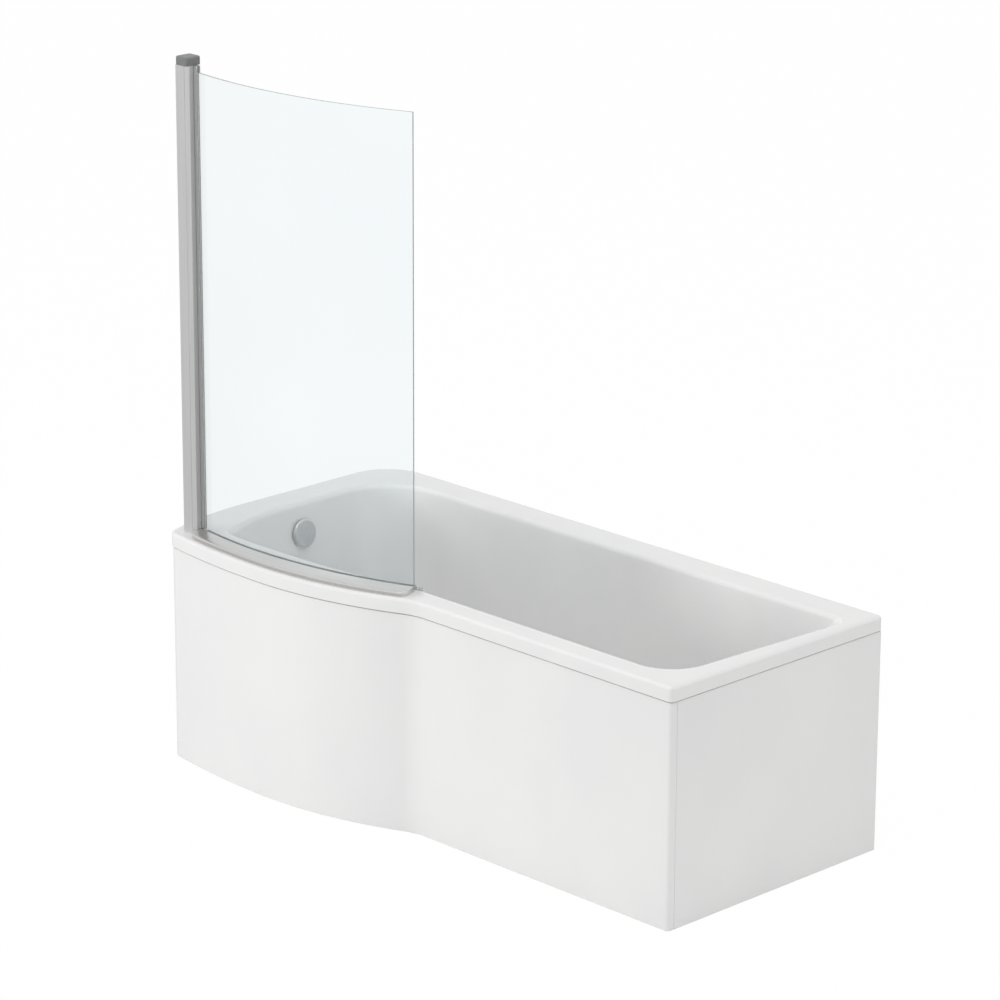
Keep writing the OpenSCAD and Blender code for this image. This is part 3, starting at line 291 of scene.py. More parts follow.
THREAD_PITCH = 1.75
THREAD_DEPTH = 0.9
THREAD_RUNOUT = 3.0
STUD_CHAMFER = 1.2
PAD_T = 5.0
PAD_RISE = 2.0
PAD_COLLAR = 5.0
COLLAR_DRAFT = 1.0
STUD_PLAY = 0.1
for foot in ("left_front", "left_back", "right_front", "right_back", "centre"):
    low, high = node_box_mm("foot_stud_" + foot)
    stud_r = (high[0] - low[0]) / 2
    axis = ((low[0] + high[0]) / 2 * MM, (low[1] + high[1]) / 2 * MM, 0)
    profile = [(0, low[2]), (stud_r - STUD_CHAMFER, low[2]), (stud_r, low[2] + STUD_CHAMFER)]
    for i in range(int((high[2] - low[2] - 2 * THREAD_RUNOUT) / THREAD_PITCH)):
        z = low[2] + THREAD_RUNOUT + i * THREAD_PITCH
        profile += [(stud_r, z), (stud_r - THREAD_DEPTH, z + THREAD_PITCH / 2)]
    profile += [(stud_r, high[2] - STUD_CHAMFER), (stud_r - STUD_CHAMFER, high[2]), (0, high[2])]
    bm = turned(profile, steps=24)
    bmesh.ops.translate(bm, verts=bm.verts, vec=axis)
    make_piece("levelling_stud_" + foot, bm, [zinc], "foot_stud_" + foot, smooth_to=25)

    pad_low, pad_high = node_box_mm("foot_pad_" + foot)
    pad_r = (pad_high[0] - pad_low[0]) / 2
    collar_r = stud_r + PAD_COLLAR
    socket_r = stud_r + STUD_PLAY
    profile = [(0, 0), (pad_r, 0), (pad_r, PAD_T), (collar_r + COLLAR_DRAFT, PAD_T + PAD_RISE),
               (collar_r, pad_high[2]), (socket_r, pad_high[2]), (socket_r, low[2]), (0, low[2])]
    bm = turned(rounded(profile, 1.0, steps=3), steps=48)
    bmesh.ops.translate(bm, verts=bm.verts, vec=axis)
    make_piece("levelling_pad_" + foot, bm, [black_rubber], "foot_pad_" + foot)


# ---- Cradle: rails, bracket, nuts and screws ----
# Two folded steel rails carry the board, with a folded bracket in the middle. All of it is
# zinc-plated sheet, so the edges are only broken, and the nuts and screws are standard ones.
SHARP_FROM = radians(35)
FLAT_WITHIN = radians(0.5)


def refined(name, node, finishes, edge_mm, segments=2):
    """The piece for a CAD node from a copy of it, with its triangles merged and its edges rounded."""
    bm = bmesh.new()
    bm.from_mesh(frame["nodes"][node].data)
    bmesh.ops.remove_doubles(bm, verts=bm.verts, dist=2e-6)
    bmesh.ops.dissolve_limit(bm, angle_limit=FLAT_WITHIN, verts=bm.verts, edges=bm.edges)
    edges = [e for e in bm.edges if len(e.link_faces) == 2 and e.calc_face_angle() > SHARP_FROM]
    bmesh.ops.bevel(bm, geom=edges, offset=edge_mm * MM, offset_type="OFFSET", affect="EDGES",
                    segments=segments, profile=0.5, material=-1, clamp_overlap=True)
    return make_piece(name, bm, finishes, node)


for node in ("cradle_rail_left", "cradle_rail_right", "centre_bracket", "lock_nuts", "rail_screws"):
    refined("zinc_" + node, node, [zinc], 0.5)


# ---- Board under the floor, and the timber battens ----
# The board is chipboard, glassed to the floor of the bath. Battens of planed softwood stiffen the
# rim from below, and two more lie on the floor to carry the panels.
# Planed softwood: honey-coloured, with growth rings 2.5 mm apart that run long and level
softwood = make_finish("planed_softwood", "timber", "ShaderNodeTexNoise", (60, 60, 2.5), "A9834F",
                       "DCC08F", bump_mm=0.2, shape={"Detail": 6.0, "Distortion": 0.6}, Roughness=0.62)
# Chipboard under resin: flakes 4.5 mm across in tan shades, with a low sheen
chipboard = make_finish("resin_sealed_chipboard", "timber", "ShaderNodeTexVoronoi", (4.5, 4.5, 4.5),
                        "9C7C4E", "CBB184", output="Color", spread=(0, 1), bump_mm=0.3, Roughness=0.5)

refined("chipboard_base", "base_board", [chipboard], 1.0)
for node in ("rim_batten_back", "rim_batten_wide_end", "rim_batten_narrow_end", "rim_batten_front",
             "rim_batten_bow", "floor_batten_front", "floor_batten_end"):
    refined("softwood_" + node, node, [softwood], 1.2)


# ---- Bath shell ----
# One sheet of 5 mm cast acrylic, vacuum-formed over a mould and stiffened from behind with glass
# fibre. The rim is flat with a turned-down lip; the walls run into the floor in wide sweeps.
low, high = node_box_mm("bath_shell")
WIDE_X, NOSE_Y = low[0], low[1]
NARROW_X, WALL_Y, RIM_Z = high
NARROW_WIDTH = 700.0
NOSE_IN = 400.0
LIP_H = 36.0
FRONT_Y = WALL_Y - NARROW_WIDTH
NOSE_X = WIDE_X + NOSE_IN
LIP_Z = RIM_Z - LIP_H
SHELL_T = 5.0
LIP_ROUND = 2.0
RIM_ROUND = 8.0
BASIN_ROUND = 12.0
BASIN_DEPTH = 406.0
FLOOR_ROUND = 70.0
FLOOR_FALL = 5.0
SIDE_SLOPE, WASTE_SLOPE, BACK_SLOPE = radians(8), radians(9), radians(25)
# Points on the eight arcs of an outline, and on the straights between them
ARC_STEPS = [12, 20, 14, 14, 14, 24, 14, 16]
STRAIGHT_STEPS = {0: 24, 1: 8, 6: 18, 7: 12}


def meet(c1, r1, c2, r2):
    """The point at distance r1 from c1 and r2 from c2, on the left on the way from c1 to c2."""
    d = hypot(c2[0] - c1[0], c2[1] - c1[1])
    u = ((c2[0] - c1[0]) / d, (c2[1] - c1[1]) / d)
    along = (r1 * r1 - r2 * r2 + d * d) / (2 * d)
    side = sqrt(r1 * r1 - along * along)
    return (c1[0] + along * u[0] - side * u[1], c1[1] + along * u[1] + side * u[0])


def p_arcs(wide_x, narrow_x, front_y, wall_y, nose_x, nose_y, sweep_y, radii, lean=0.0):
    """The eight arcs of a P-shaped outline as (centre, radius, start, end, bulge), anticlockwise."""
    r_rear, r_wall, r_sweep, r_corner, r_bow, r_waist, r_blend, r_near = radii
    nx, ny = cos(-lean), sin(-lean)
    rear = (narrow_x - r_rear, wall_y - r_rear)
    near_y = front_y + r_near
    reach = nx * rear[0] + ny * rear[1] + r_rear - r_near
    near = ((reach - ny * near_y) / nx, near_y)
    wall = (wide_x + r_wall, wall_y - r_wall)
    sweep = (wide_x + r_sweep, sweep_y)
    bow = (nose_x, nose_y + r_bow)
    waist = (nose_x, nose_y + r_waist)
    corner = meet(sweep, r_sweep - r_corner, bow, r_bow - r_corner)
    blend_y = front_y - r_blend
    blend = (nose_x + sqrt((r_waist + r_blend) ** 2 - (waist[1] - blend_y) ** 2), blend_y)
    full = 2 * pi
    a_sweep = full + atan2(corner[1] - sweep[1], corner[0] - sweep[0])
    a_bow = full + atan2(corner[1] - bow[1], corner[0] - bow[0])
    a_waist = full + atan2(blend[1] - waist[1], blend[0] - waist[0])
    return [(rear, r_rear, -lean, pi / 2, 1), (wall, r_wall, pi / 2, pi, 1),
            (sweep, r_sweep, pi, a_sweep, 1), (corner, r_corner, a_sweep, a_bow, 1),
            (bow, r_bow, a_bow, 1.5 * pi, 1),
            (waist, r_waist, 1.5 * pi, a_waist, 1), (blend, r_blend, a_waist - pi, pi / 2, -1),
            (near, r_near, 1.5 * pi, full - lean, 1)]


def arc_line(arc, steps, inset, start=None):
    """Points along one arc of an outline, at an inset."""
    (cx, cy), radius, a0, a1, bulge = arc
    a0 = a0 if start is None else start
    r = radius - bulge * inset
    return [(cx + r * cos(a0 + (a1 - a0) * i / steps), cy + r * sin(a0 + (a1 - a0) * i / steps))
            for i in range(steps + 1)]


def outline(arcs, inset=0.0):
    """A closed outline at an inset, with points on its straights, without doubled points."""
    points = []
    for k, arc in enumerate(arcs):
        stretch = arc_line(arc, ARC_STEPS[k], inset)
        if points and k in (3, 4, 5, 6):
            stretch = stretch[1:]
        points += stretch
        if k in STRAIGHT_STEPS:
            following = arc_line(arcs[(k + 1) % 8], 1, inset)[0]
            count = STRAIGHT_STEPS[k]
            ahead = points[-1]
            points += [(ahead[0] + (following[0] - ahead[0]) * i / count,
                        ahead[1] + (following[1] - ahead[1]) * i / count) for i in range(1, count)]
    return points


# Radii: wall corner of the narrow end, wall corner and sweep of the wide end, its front corner,
# bow, waist, hollow blend, and near corner of the narrow end
RIM_RADII = (12, 118, 800, 40, 2000, 1000, 150, 12)
EDGE_RADII = (37, 140, 510, 18, 2600, 2600, 300, 95)
SOLE_RADII = (120, 190, 455, 110, 2540, 2540, 300, 150)
SWEEP_Y = -90.0
RIM_ARCS = p_arcs(WIDE_X, NARROW_X, FRONT_Y, WALL_Y, NOSE_X, NOSE_Y, SWEEP_Y, RIM_RADII)
# Widths of the rim at the wide end, the narrow end, the front and the wall side
LEDGES = (98, 38, 67, 86)
BASIN_X = (WIDE_X + LEDGES[0], NARROW_X - LEDGES[1])
BASIN_Y = (FRONT_Y + LEDGES[2], WALL_Y - LEDGES[3])
# How far the foremost point of the basin lies in from the wide end and from the bow
BASIN_NOSE_IN = (315, 127)
BASIN_NOSE = (WIDE_X + BASIN_NOSE_IN[0], NOSE_Y + BASIN_NOSE_IN[1])
BASIN_SWEEP_Y = -30.0
LEAN = radians(3.2)
EDGE_ARCS = p_arcs(*BASIN_X, *BASIN_Y, *BASIN_NOSE, BASIN_SWEEP_Y, EDGE_RADII, LEAN)
FLOOR_Z = RIM_Z - BASIN_DEPTH
SOLE_Z = FLOOR_Z + FLOOR_FALL
DROP = RIM_Z - SOLE_Z
SIDE_DRAW = DROP * tan(SIDE_SLOPE)
SOLE_ARCS = p_arcs(BASIN_X[0] + DROP * tan(WASTE_SLOPE), BASIN_X[1] - DROP * tan(BACK_SLOPE),
                   BASIN_Y[0] + SIDE_DRAW, BASIN_Y[1] - SIDE_DRAW,
                   BASIN_NOSE[0], BASIN_NOSE[1] + SIDE_DRAW, BASIN_SWEEP_Y, SOLE_RADII, LEAN)


def raised(points, z):
    """Points of a plan in millimetres, at a height, in metres."""
    return [Vector((x * MM, y * MM, z * MM)) for x, y in points]


def bend(a, b, c, t):
    """A ring on the curve that leaves ring a and reaches ring c, guided by ring b."""
    return [p * (1 - t) ** 2 + q * 2 * t * (1 - t) + r * t * t for p, q, r in zip(a, b, c)]


def wall_ring(depth):
    """The ring of the basin's wall at a depth below the rim."""
    t = depth / DROP
    return [p * (1 - t) + q * t for p, q in
            zip(raised(outline(EDGE_ARCS), RIM_Z), raised(outline(SOLE_ARCS), SOLE_Z))]


def start_loop(bm, places, closed=True):
    """A loop of vertices and edges through a list of places."""
    loop = [bm.verts.new(p) for p in places]
    for a, b in zip(loop, loop[1:] + (loop[:1] if closed else [])):
        bm.edges.new((a, b))
    return loop


def carry(bm, loop, places, closed=True):
    """Extrudes a loop and moves the new one to a list of places."""
    pairs = zip(loop, loop[1:] + (loop[:1] if closed else []))
    edges = [bm.edges.get(pair) for pair in pairs]
    extruded = bmesh.ops.extrude_edge_only(bm, edges=edges)["geom"]
    made = set(v for v in extruded if isinstance(v, bmesh.types.BMVert))
    ahead = [next(e.other_vert(v) for e in v.link_edges if e.other_vert(v) in made) for v in loop]
    for v, place in zip(ahead, places):
        v.co = place
    return ahead


# Cast sanitary acrylic: deep white gloss, with the faint ripple, 140 mm long, of vacuum forming
acrylic = make_finish("vacuum_formed_acrylic", "white_acrylic", "ShaderNodeTexNoise", (140, 140, 140),
                      "E9E9E9", "ECECEB", bump_mm=0.12, Roughness=0.16, IOR=1.49, Coat_Weight=0.35,
                      Coat_Roughness=0.06)
# Chopped glass fibre in resin behind the acrylic: buff and milky, with clumps 12 mm across
fibre = make_finish("sprayed_glass_fibre", "white_acrylic", "ShaderNodeTexNoise", (12, 12, 12), "CFC8B4",
                    "E9E5D8", bump_mm=0.8, shape={"Detail": 5.0, "Distortion": 1.5}, Roughness=0.45)

waste_low, waste_high = node_box_mm("waste_flange")
WASTE_X = (waste_low[0] + waste_high[0]) / 2
WASTE_Y = (waste_low[1] + waste_high[1]) / 2
SEAT_R = 37.0
SEAT_DEPTH = 2.0
SEAT_BORDER = 6.0
HOLE_R = 21.6


def dish_ring(points, r, z):
    """A circle round the waste, with one point towards each point of a ring."""
    headings = [atan2(p.y / MM - WASTE_Y, p.x / MM - WASTE_X) for p in points]
    return raised([(WASTE_X + r * cos(a), WASTE_Y + r * sin(a)) for a in headings], z)


LIP_STEPS, ROUND_STEPS, WALL_STEPS, SWEEP_STEPS = 4, 6, 8, 10
bm = bmesh.new()
loop = start_loop(bm, raised(outline(RIM_ARCS, LIP_ROUND), LIP_Z))
for i in range(1, LIP_STEPS + 1):
    a = pi / 2 * i / LIP_STEPS
    ring = outline(RIM_ARCS, LIP_ROUND * (1 - sin(a)))
    loop = carry(bm, loop, raised(ring, LIP_Z + LIP_ROUND * (1 - cos(a))))
for i in range(ROUND_STEPS + 1):
    a = pi / 2 * i / ROUND_STEPS
    ring = outline(RIM_ARCS, RIM_ROUND * (1 - cos(a)))
    loop = carry(bm, loop, raised(ring, RIM_Z - RIM_ROUND * (1 - sin(a))))
edge_top = raised(outline(EDGE_ARCS, -BASIN_ROUND), RIM_Z)
edge_corner = raised(outline(EDGE_ARCS), RIM_Z)
for i in range(ROUND_STEPS + 1):
    loop = carry(bm, loop, bend(edge_top, edge_corner, wall_ring(BASIN_ROUND), i / ROUND_STEPS))
deep = DROP - FLOOR_ROUND
for i in range(1, WALL_STEPS + 1):
    loop = carry(bm, loop, wall_ring(BASIN_ROUND + (deep - BASIN_ROUND) * i / WALL_STEPS))
sole = raised(outline(SOLE_ARCS), SOLE_Z)
sole_in = raised(outline(SOLE_ARCS, FLOOR_ROUND), SOLE_Z)
for i in range(1, SWEEP_STEPS + 1):
    loop = carry(bm, loop, bend(wall_ring(deep), sole, sole_in, i / SWEEP_STEPS))
dish = dish_ring(sole_in, SEAT_R + SEAT_BORDER, FLOOR_Z)
for t in (0.5, 1.0):
    loop = carry(bm, loop, [p * (1 - t) + q * t for p, q in zip(sole_in, dish)])
for r, z in ((SEAT_R, FLOOR_Z), (SEAT_R, FLOOR_Z - SEAT_DEPTH), (HOLE_R, FLOOR_Z - SEAT_DEPTH)):
    loop = carry(bm, loop, dish_ring(sole_in, r, z))
bmesh.ops.recalc_face_normals(bm, faces=bm.faces)
if max(bm.faces, key=lambda f: f.calc_center_median().z).normal.z < 0:
    bmesh.ops.reverse_faces(bm, faces=bm.faces)
shell = make_piece("acrylic_shell", bm, [acrylic, fibre], "bath_shell", smooth_to=50, wall_mm=SHELL_T)
shell.modifiers["wall"].material_offset = 1


# ---- Waste, plug and trap ----
# A chromed flange is clamped through the floor on a rubber gasket. The plug stands on a stem in
# the guide of the moulded body below, which also takes the overflow hose; the trap hangs under it.
# Polished chrome plate: a bright mirror, a little clouded by water film in patches 16 mm across
chrome = make_finish("polished_chrome_plate", "satin_chrome", "ShaderNodeTexNoise", (16, 16, 16), "D3D5D7",
                     "DFE1E2", gloss=(0.05, 0.12), Metallic=1.0)
# Moulded polypropylene: white and waxy, with flow marks 2.5 mm wide
white_plastic = make_finish("moulded_white_polypropylene", "white_plastic", "ShaderNodeTexNoise",
                            (2.5, 2.5, 2.5), "E2E2DF", "ECECEA", bump_mm=0.03, Roughness=0.42)

flange_top = waste_high[2]
plug_low, plug_high = node_box_mm("plug")
plug_top = plug_high[2]
plug_r = (plug_high[0] - plug_low[0]) / 2
# Radius and height of each corner of the turned flange, and of the turned plug
FLANGE_PROFILE = [(18.5, waste_low[2]), (21, waste_low[2]), (21, flange_top - 3), (36, flange_top - 3),
                  (36, flange_top - 1.2), (33, flange_top), (20, flange_top), (18.5, flange_top - 2),
                  (18.5, waste_low[2])]
PLUG_PROFILE = [(0, plug_low[2]), (3, plug_low[2]), (3, flange_top - 8), (14, flange_top - 4),
                (14, plug_top - 5), (plug_r, plug_top - 5), (plug_r, plug_top - 3.2),
                (plug_r - 6, plug_top - 0.7), (0, plug_top)]
for name, node, profile in (("chromed_waste_flange", "waste_flange", FLANGE_PROFILE),
                            ("chromed_plug", "plug", PLUG_PROFILE)):
    bm = turned(rounded(profile, 1.0, steps=3), steps=72)
    bmesh.ops.translate(bm, verts=bm.verts, vec=(WASTE_X * MM, WASTE_Y * MM, 0))
    make_piece(name, bm, [chrome], node)
refined("rubber_plug_seal", "plug_seal", [black_rubber], 0.4)
refined("rubber_waste_gasket", "waste_gasket", [black_rubber], 0.6)
for node in ("waste_body", "trap_body", "trap_nut", "outlet_nut"):
    refined("moulded_" + node, node, [white_plastic], 0.6)


# ---- Overflow: knob, collar, elbow, hose and cable ----
# A satin-chromed knob with a bevelled edge turns on a spindle in the collar. Behind the wall a
# moulded elbow takes the water down a ribbed hose, and the knob pulls a cable that lifts the plug.
# Satin chrome plate: an even grey sheen, with patches 8 mm across that are a little duller
satin_chrome = make_finish("satin_chrome_plate", "satin_chrome", "ShaderNodeTexNoise", (8, 8, 8),
                           "C2C5C6", "CDD0D1", gloss=(0.3, 0.4), Metallic=1.0)

OVERFLOW_DROP = 74.0
KNOB_R = 35.0
KNOB_H = 12.0
KNOB_T = 4.0
KNOB_LIFT = 4.0
KNOB_BEVEL = 3.2
SPINDLE_R = 4.0
SPINDLE_L = 38.0
overflow_x = BASIN_X[0] + OVERFLOW_DROP * tan(WASTE_SLOPE)
overflow_turn = (Matrix.Translation(Vector((overflow_x, WASTE_Y, RIM_Z - OVERFLOW_DROP)) * MM)
                 @ Matrix.Rotation(pi / 2 - WASTE_SLOPE, 4, "Y"))
KNOB_PROFILE = [(0, -SPINDLE_L), (SPINDLE_R, -SPINDLE_L), (SPINDLE_R, KNOB_H - KNOB_T),
                (KNOB_R - KNOB_T, KNOB_H - KNOB_T), (KNOB_R - KNOB_T, KNOB_LIFT), (KNOB_R, KNOB_LIFT),
                (KNOB_R, KNOB_H - KNOB_BEVEL), (KNOB_R - KNOB_BEVEL, KNOB_H), (0, KNOB_H)]
bm = turned(rounded(KNOB_PROFILE, 0.9, steps=3), steps=96)
bmesh.ops.transform(bm, matrix=overflow_turn, verts=bm.verts)
make_piece("satin_overflow_knob", bm, [satin_chrome], "overflow_knob")
refined("moulded_cable_drum", "cable_drum", [white_plastic], 0.4)
refined("chromed_overflow_collar", "overflow_collar", [chrome], 0.4)
refined("rubber_overflow_gasket", "overflow_gasket", [black_rubber], 0.5)
refined("moulded_overflow_elbow", "overflow_elbow", [white_plastic], 0.6)


def dropped_route(low, high, r, bend_r, step):
    """Points and headings, a step apart, of a route in a node's box that drops, turns and runs level."""
    x0, z0, x1, z1 = low[0] + r, high[2], high[0], low[2] + r
    fall, run = z0 - z1 - bend_r, x1 - x0 - bend_r
    total = fall + bend_r * pi / 2 + run
    count = int(total / step)
    for i in range(count + 1):
        s = total * i / count
        if s < fall:
            yield (x0, z0 - s), 0.0
        elif s < fall + bend_r * pi / 2:
            a = (s - fall) / bend_r
            yield (x0 + bend_r * (1 - cos(a)), z1 + bend_r * (1 - sin(a))), a
        else:
            yield (x1 - (total - s), z1), pi / 2


def along_route(y, route, radii, sides):
    """A tube round a route in the plane y, with one radius for each step of the route, in turn."""
    bm = bmesh.new()
    loop = None
    for i, ((x, z), a) in enumerate(route):
        r = radii[i % len(radii)]
        turns = [2 * pi * k / sides for k in range(sides)]
        ring = [Vector((x + r * cos(t) * cos(a), y + r * sin(t), z + r * cos(t) * sin(a))) * MM
                for t in turns]
        loop = start_loop(bm, ring) if loop is None else carry(bm, loop, ring)
    bmesh.ops.holes_fill(bm, edges=bm.edges, sides=sides)
    bmesh.ops.recalc_face_normals(bm, faces=bm.faces)
    return bm


HOSE_RIB = 1.4
HOSE_BEND = 70.0
HOSE_STEP = 2.0
CABLE_BEND = 84.0
CABLE_STEP = 6.0
low, high = node_box_mm("overflow_hose")
hose_r = (high[1] - low[1]) / 2
bm = along_route((low[1] + high[1]) / 2, dropped_route(low, high, hose_r, HOSE_BEND, HOSE_STEP),
                 (hose_r, hose_r, hose_r - HOSE_RIB, hose_r - HOSE_RIB), sides=24)
make_piece("ribbed_overflow_hose", bm, [white_plastic], "overflow_hose", smooth_to=25)
low, high = node_box_mm("control_cable")
cable_r = (high[1] - low[1]) / 2
bm = along_route((low[1] + high[1]) / 2, dropped_route(low, high, cable_r, CABLE_BEND, CABLE_STEP),
                 (cable_r,), sides=12)
make_piece("sheathed_control_cable", bm, [black_rubber], "control_cable")


# ---- Panels, clips and wall brackets ----
# The front panel is one sheet of acrylic, heat-bent round the bow, the blend and the near corner;
# the end panel is a flat sheet. Plastic clips hold both under the rim, steel brackets hold the rim.
# Extruded acrylic sheet: the same white, a little flatter in gloss, with a ripple 250 mm long
sheet_acrylic = make_finish("bent_acrylic_sheet", "white_acrylic", "ShaderNodeTexNoise", (250, 250, 400),
                            "E9E9E9", "EDEDEC", bump_mm=0.15, Roughness=0.2, IOR=1.49, Coat_Weight=0.25,
                            Coat_Roughness=0.1)
PANEL_IN = 2.5
PANEL_T = 3.5
PANEL_TOP = node_box_mm("front_panel")[1][2]
# The sheet starts this far along the sweep of the wide end, and returns this far at the near corner
PANEL_START = 40.0
PANEL_RETURN = 22.0
PANEL_START_Y = SWEEP_Y - PANEL_START
PANEL_RETURN_Y = FRONT_Y + PANEL_RETURN
PANEL_EDGE = 1.5
PANEL_ROWS = 4

sweep_arc = RIM_ARCS[2]
line = arc_line(sweep_arc, 12, PANEL_IN, pi + asin((sweep_arc[0][1] - PANEL_START_Y) / sweep_arc[1]))
for k in (3, 4, 5, 6):
    line += arc_line(RIM_ARCS[k], ARC_STEPS[k] * 2, PANEL_IN)[1:]
line += arc_line(RIM_ARCS[7], 12, PANEL_IN)
line.append((NARROW_X - PANEL_IN, PANEL_RETURN_Y))
bm = bmesh.new()
loop = start_loop(bm, raised(line, 0), closed=False)
for i in range(1, PANEL_ROWS + 1):
    loop = carry(bm, loop, raised(line, PANEL_TOP * i / PANEL_ROWS), closed=False)
bmesh.ops.recalc_face_normals(bm, faces=bm.faces)
if min(bm.faces, key=lambda f: f.calc_center_median().y).normal.y > 0:
    bmesh.ops.reverse_faces(bm, faces=bm.faces)
make_piece("bent_front_panel", bm, [sheet_acrylic], "front_panel", smooth_to=40, wall_mm=PANEL_T,
           edge_mm=PANEL_EDGE, segments=4)
refined("flat_end_panel", "end_panel", [sheet_acrylic], PANEL_EDGE, segments=4)
refined("moulded_panel_clips", "panel_clips", [white_plastic], 0.5)
for node in ("wall_brackets", "bracket_screws"):
    refined("zinc_" + node, node, [zinc], 0.4)


# ---- Rail on the rim ----
# A curved aluminium rail, rolled and satin anodised, is bonded to the rim between the rim's face
# and the glass. Its front stands upright under a rounded edge, and both its ends narrow in a radius.
# Rolled satin aluminium: a warm light grey. The rolling lines are drawn 3 mm wide, so that they show.
rail_metal = make_finish("rolled_satin_aluminium", "satin_aluminium", "ShaderNodeTexNoise", (160, 3, 3),
                         "CCCAC8", "D8D6D4", gloss=(0.28, 0.36), bump_mm=0.02, shape={"Detail": 5.0},
                         Metallic=1.0)

GLASS_TURN = radians(10.6)
GLASS_R = 1176.0
GLASS_W = 678.0
GLASS_T = 6.0
GLASS_MID_X = 17.0
GLASS_Y = -4.4
GLASS_POCKET_X = 12.5
JOINTS = frame["record"]["behaviour"]["joints"]
swing = next(joint for joint in JOINTS if joint["name"] == "screen_swing")
PIVOT = [c / MM for c in swing["pos_m"]]
# The centre of the bent glass, and the headings of its two upright edges from there
GLASS_C = (PIVOT[0] + cos(GLASS_TURN) * GLASS_MID_X + sin(GLASS_TURN) * (GLASS_Y + GLASS_R),
           PIVOT[1] - sin(GLASS_TURN) * GLASS_MID_X + cos(GLASS_TURN) * (GLASS_Y + GLASS_R))
GLASS_FROM = 1.5 * pi - GLASS_TURN - asin((GLASS_MID_X - GLASS_POCKET_X) / GLASS_R)
GLASS_TO = GLASS_FROM + GLASS_W / GLASS_R

SILL_H = 13.0
SILL_IN = 11.0
SILL_R = GLASS_R + 2.2
SILL_POST_GAP = 4.0
SILL_PAST_GLASS = 3.0
# Length over which an end rounds in, and the share of the full width that is left at the end
SILL_START = (45.0, 0.35)
SILL_END = (18.0, 0.6)
# Shares of the width, from the front, and of the height
SILL_PROFILE = rounded([(0, 0), (0, 0.62), (0.03, 0.8), (0.12, 0.9), (0.5, 0.97), (1, 1), (1, 0)],
                       0.1, steps=3)
SILL_FROM = 1.5 * pi - asin((GLASS_C[0] - node_box_mm("hinge_post")[1][0] - SILL_POST_GAP) / SILL_R)
SILL_L = (GLASS_TO - SILL_FROM) * SILL_R + SILL_PAST_GLASS


def from_glass_centre(arc, inset, a):
    """The distance from the centre of the glass, along a heading, to an arc of the rim at an inset."""
    dx, dy = GLASS_C[0] - arc[0][0], GLASS_C[1] - arc[0][1]
    b = dx * cos(a) + dy * sin(a)
    return sqrt(b * b - dx * dx - dy * dy + (arc[1] - inset) ** 2) - b


def width_share(d, reach, share):
    """The share of the full width at a distance from an end."""
    return 1.0 if d >= reach else share + (1 - share) * sqrt(1 - (1 - d / reach) ** 2)


def rail_section(d):
    """The rail's section at a distance along it: between the rim's face and the glass."""
    a = SILL_FROM + d / SILL_R
    outer = from_glass_centre(RIM_ARCS[4], SILL_IN, a)
    if GLASS_C[0] + outer * cos(a) >= NOSE_X:
        outer = from_glass_centre(RIM_ARCS[5], SILL_IN, a)
    width = (outer - SILL_R) * width_share(d, *SILL_START) * width_share(SILL_L - d, *SILL_END)
    reaches = [(SILL_R + width * (1 - f), RIM_Z + SILL_H * h) for f, h in SILL_PROFILE]
    return [Vector((GLASS_C[0] + r * cos(a), GLASS_C[1] + r * sin(a), z)) * MM for r, z in reaches]


END_STEPS, MIDDLE_STEPS = 14, 110
straight = SILL_L - SILL_START[0] - SILL_END[0]
places = [SILL_START[0] * (1 - cos(pi / 2 * i / END_STEPS)) for i in range(END_STEPS)]
places += [SILL_START[0] + straight * i / MIDDLE_STEPS for i in range(MIDDLE_STEPS)]
places += [SILL_L - SILL_END[0] * (1 - sin(pi / 2 * i / END_STEPS)) for i in range(END_STEPS + 1)]
bm = bmesh.new()
loop = start_loop(bm, rail_section(places[0]))
for d in places[1:]:
    loop = carry(bm, loop, rail_section(d))
bmesh.ops.holes_fill(bm, edges=bm.edges, sides=len(SILL_PROFILE))
bmesh.ops.recalc_face_normals(bm, faces=bm.faces)
make_piece("curved_rim_rail", bm, [rail_metal], "bottom_rail", smooth_to=40, edge_mm=0.5)


# ---- Post: wall channel, hinge post, pivot blocks and cap ----
# Two drawn aluminium profiles slide one in the other, so that the screen can be set upright
# against an uneven wall. Moulded blocks close their ends and carry the pins; a cap hides the top.
# Drawn satin aluminium: light grey, with upright drawing lines 2 mm wide, so that they show
upright_metal = make_finish("drawn_satin_aluminium", "satin_aluminium", "ShaderNodeTexNoise", (2, 2, 300),
                            "DEDEDE", "E8E8E8", gloss=(0.3, 0.4), bump_mm=0.015, shape={"Detail": 4.0},
                            Metallic=1.0)
# Moulded ABS: mid grey and nearly matt. Its fine texture is drawn 1.5 mm wide, so that it shows.
grey_plastic = make_finish("moulded_grey_abs", "grey_plastic", "ShaderNodeTexNoise", (1.5, 1.5, 1.5),
                           "717273", "7E7F80", bump_mm=0.04, Roughness=0.5)

refined("drawn_wall_channel", "wall_channel", [upright_metal], 0.3)
refined("drawn_hinge_post", "hinge_post", [upright_metal], 0.6)
refined("zinc_post_screws", "post_screws", [zinc], 0.3)
refined("moulded_pivot_block_top", "pivot_block_top", [grey_plastic], 0.4)
refined("moulded_pivot_block_bottom", "pivot_block_bottom", [grey_plastic], 0.8)
refined("steel_hinge_pins", "hinge_pins", [zinc], 0.4)

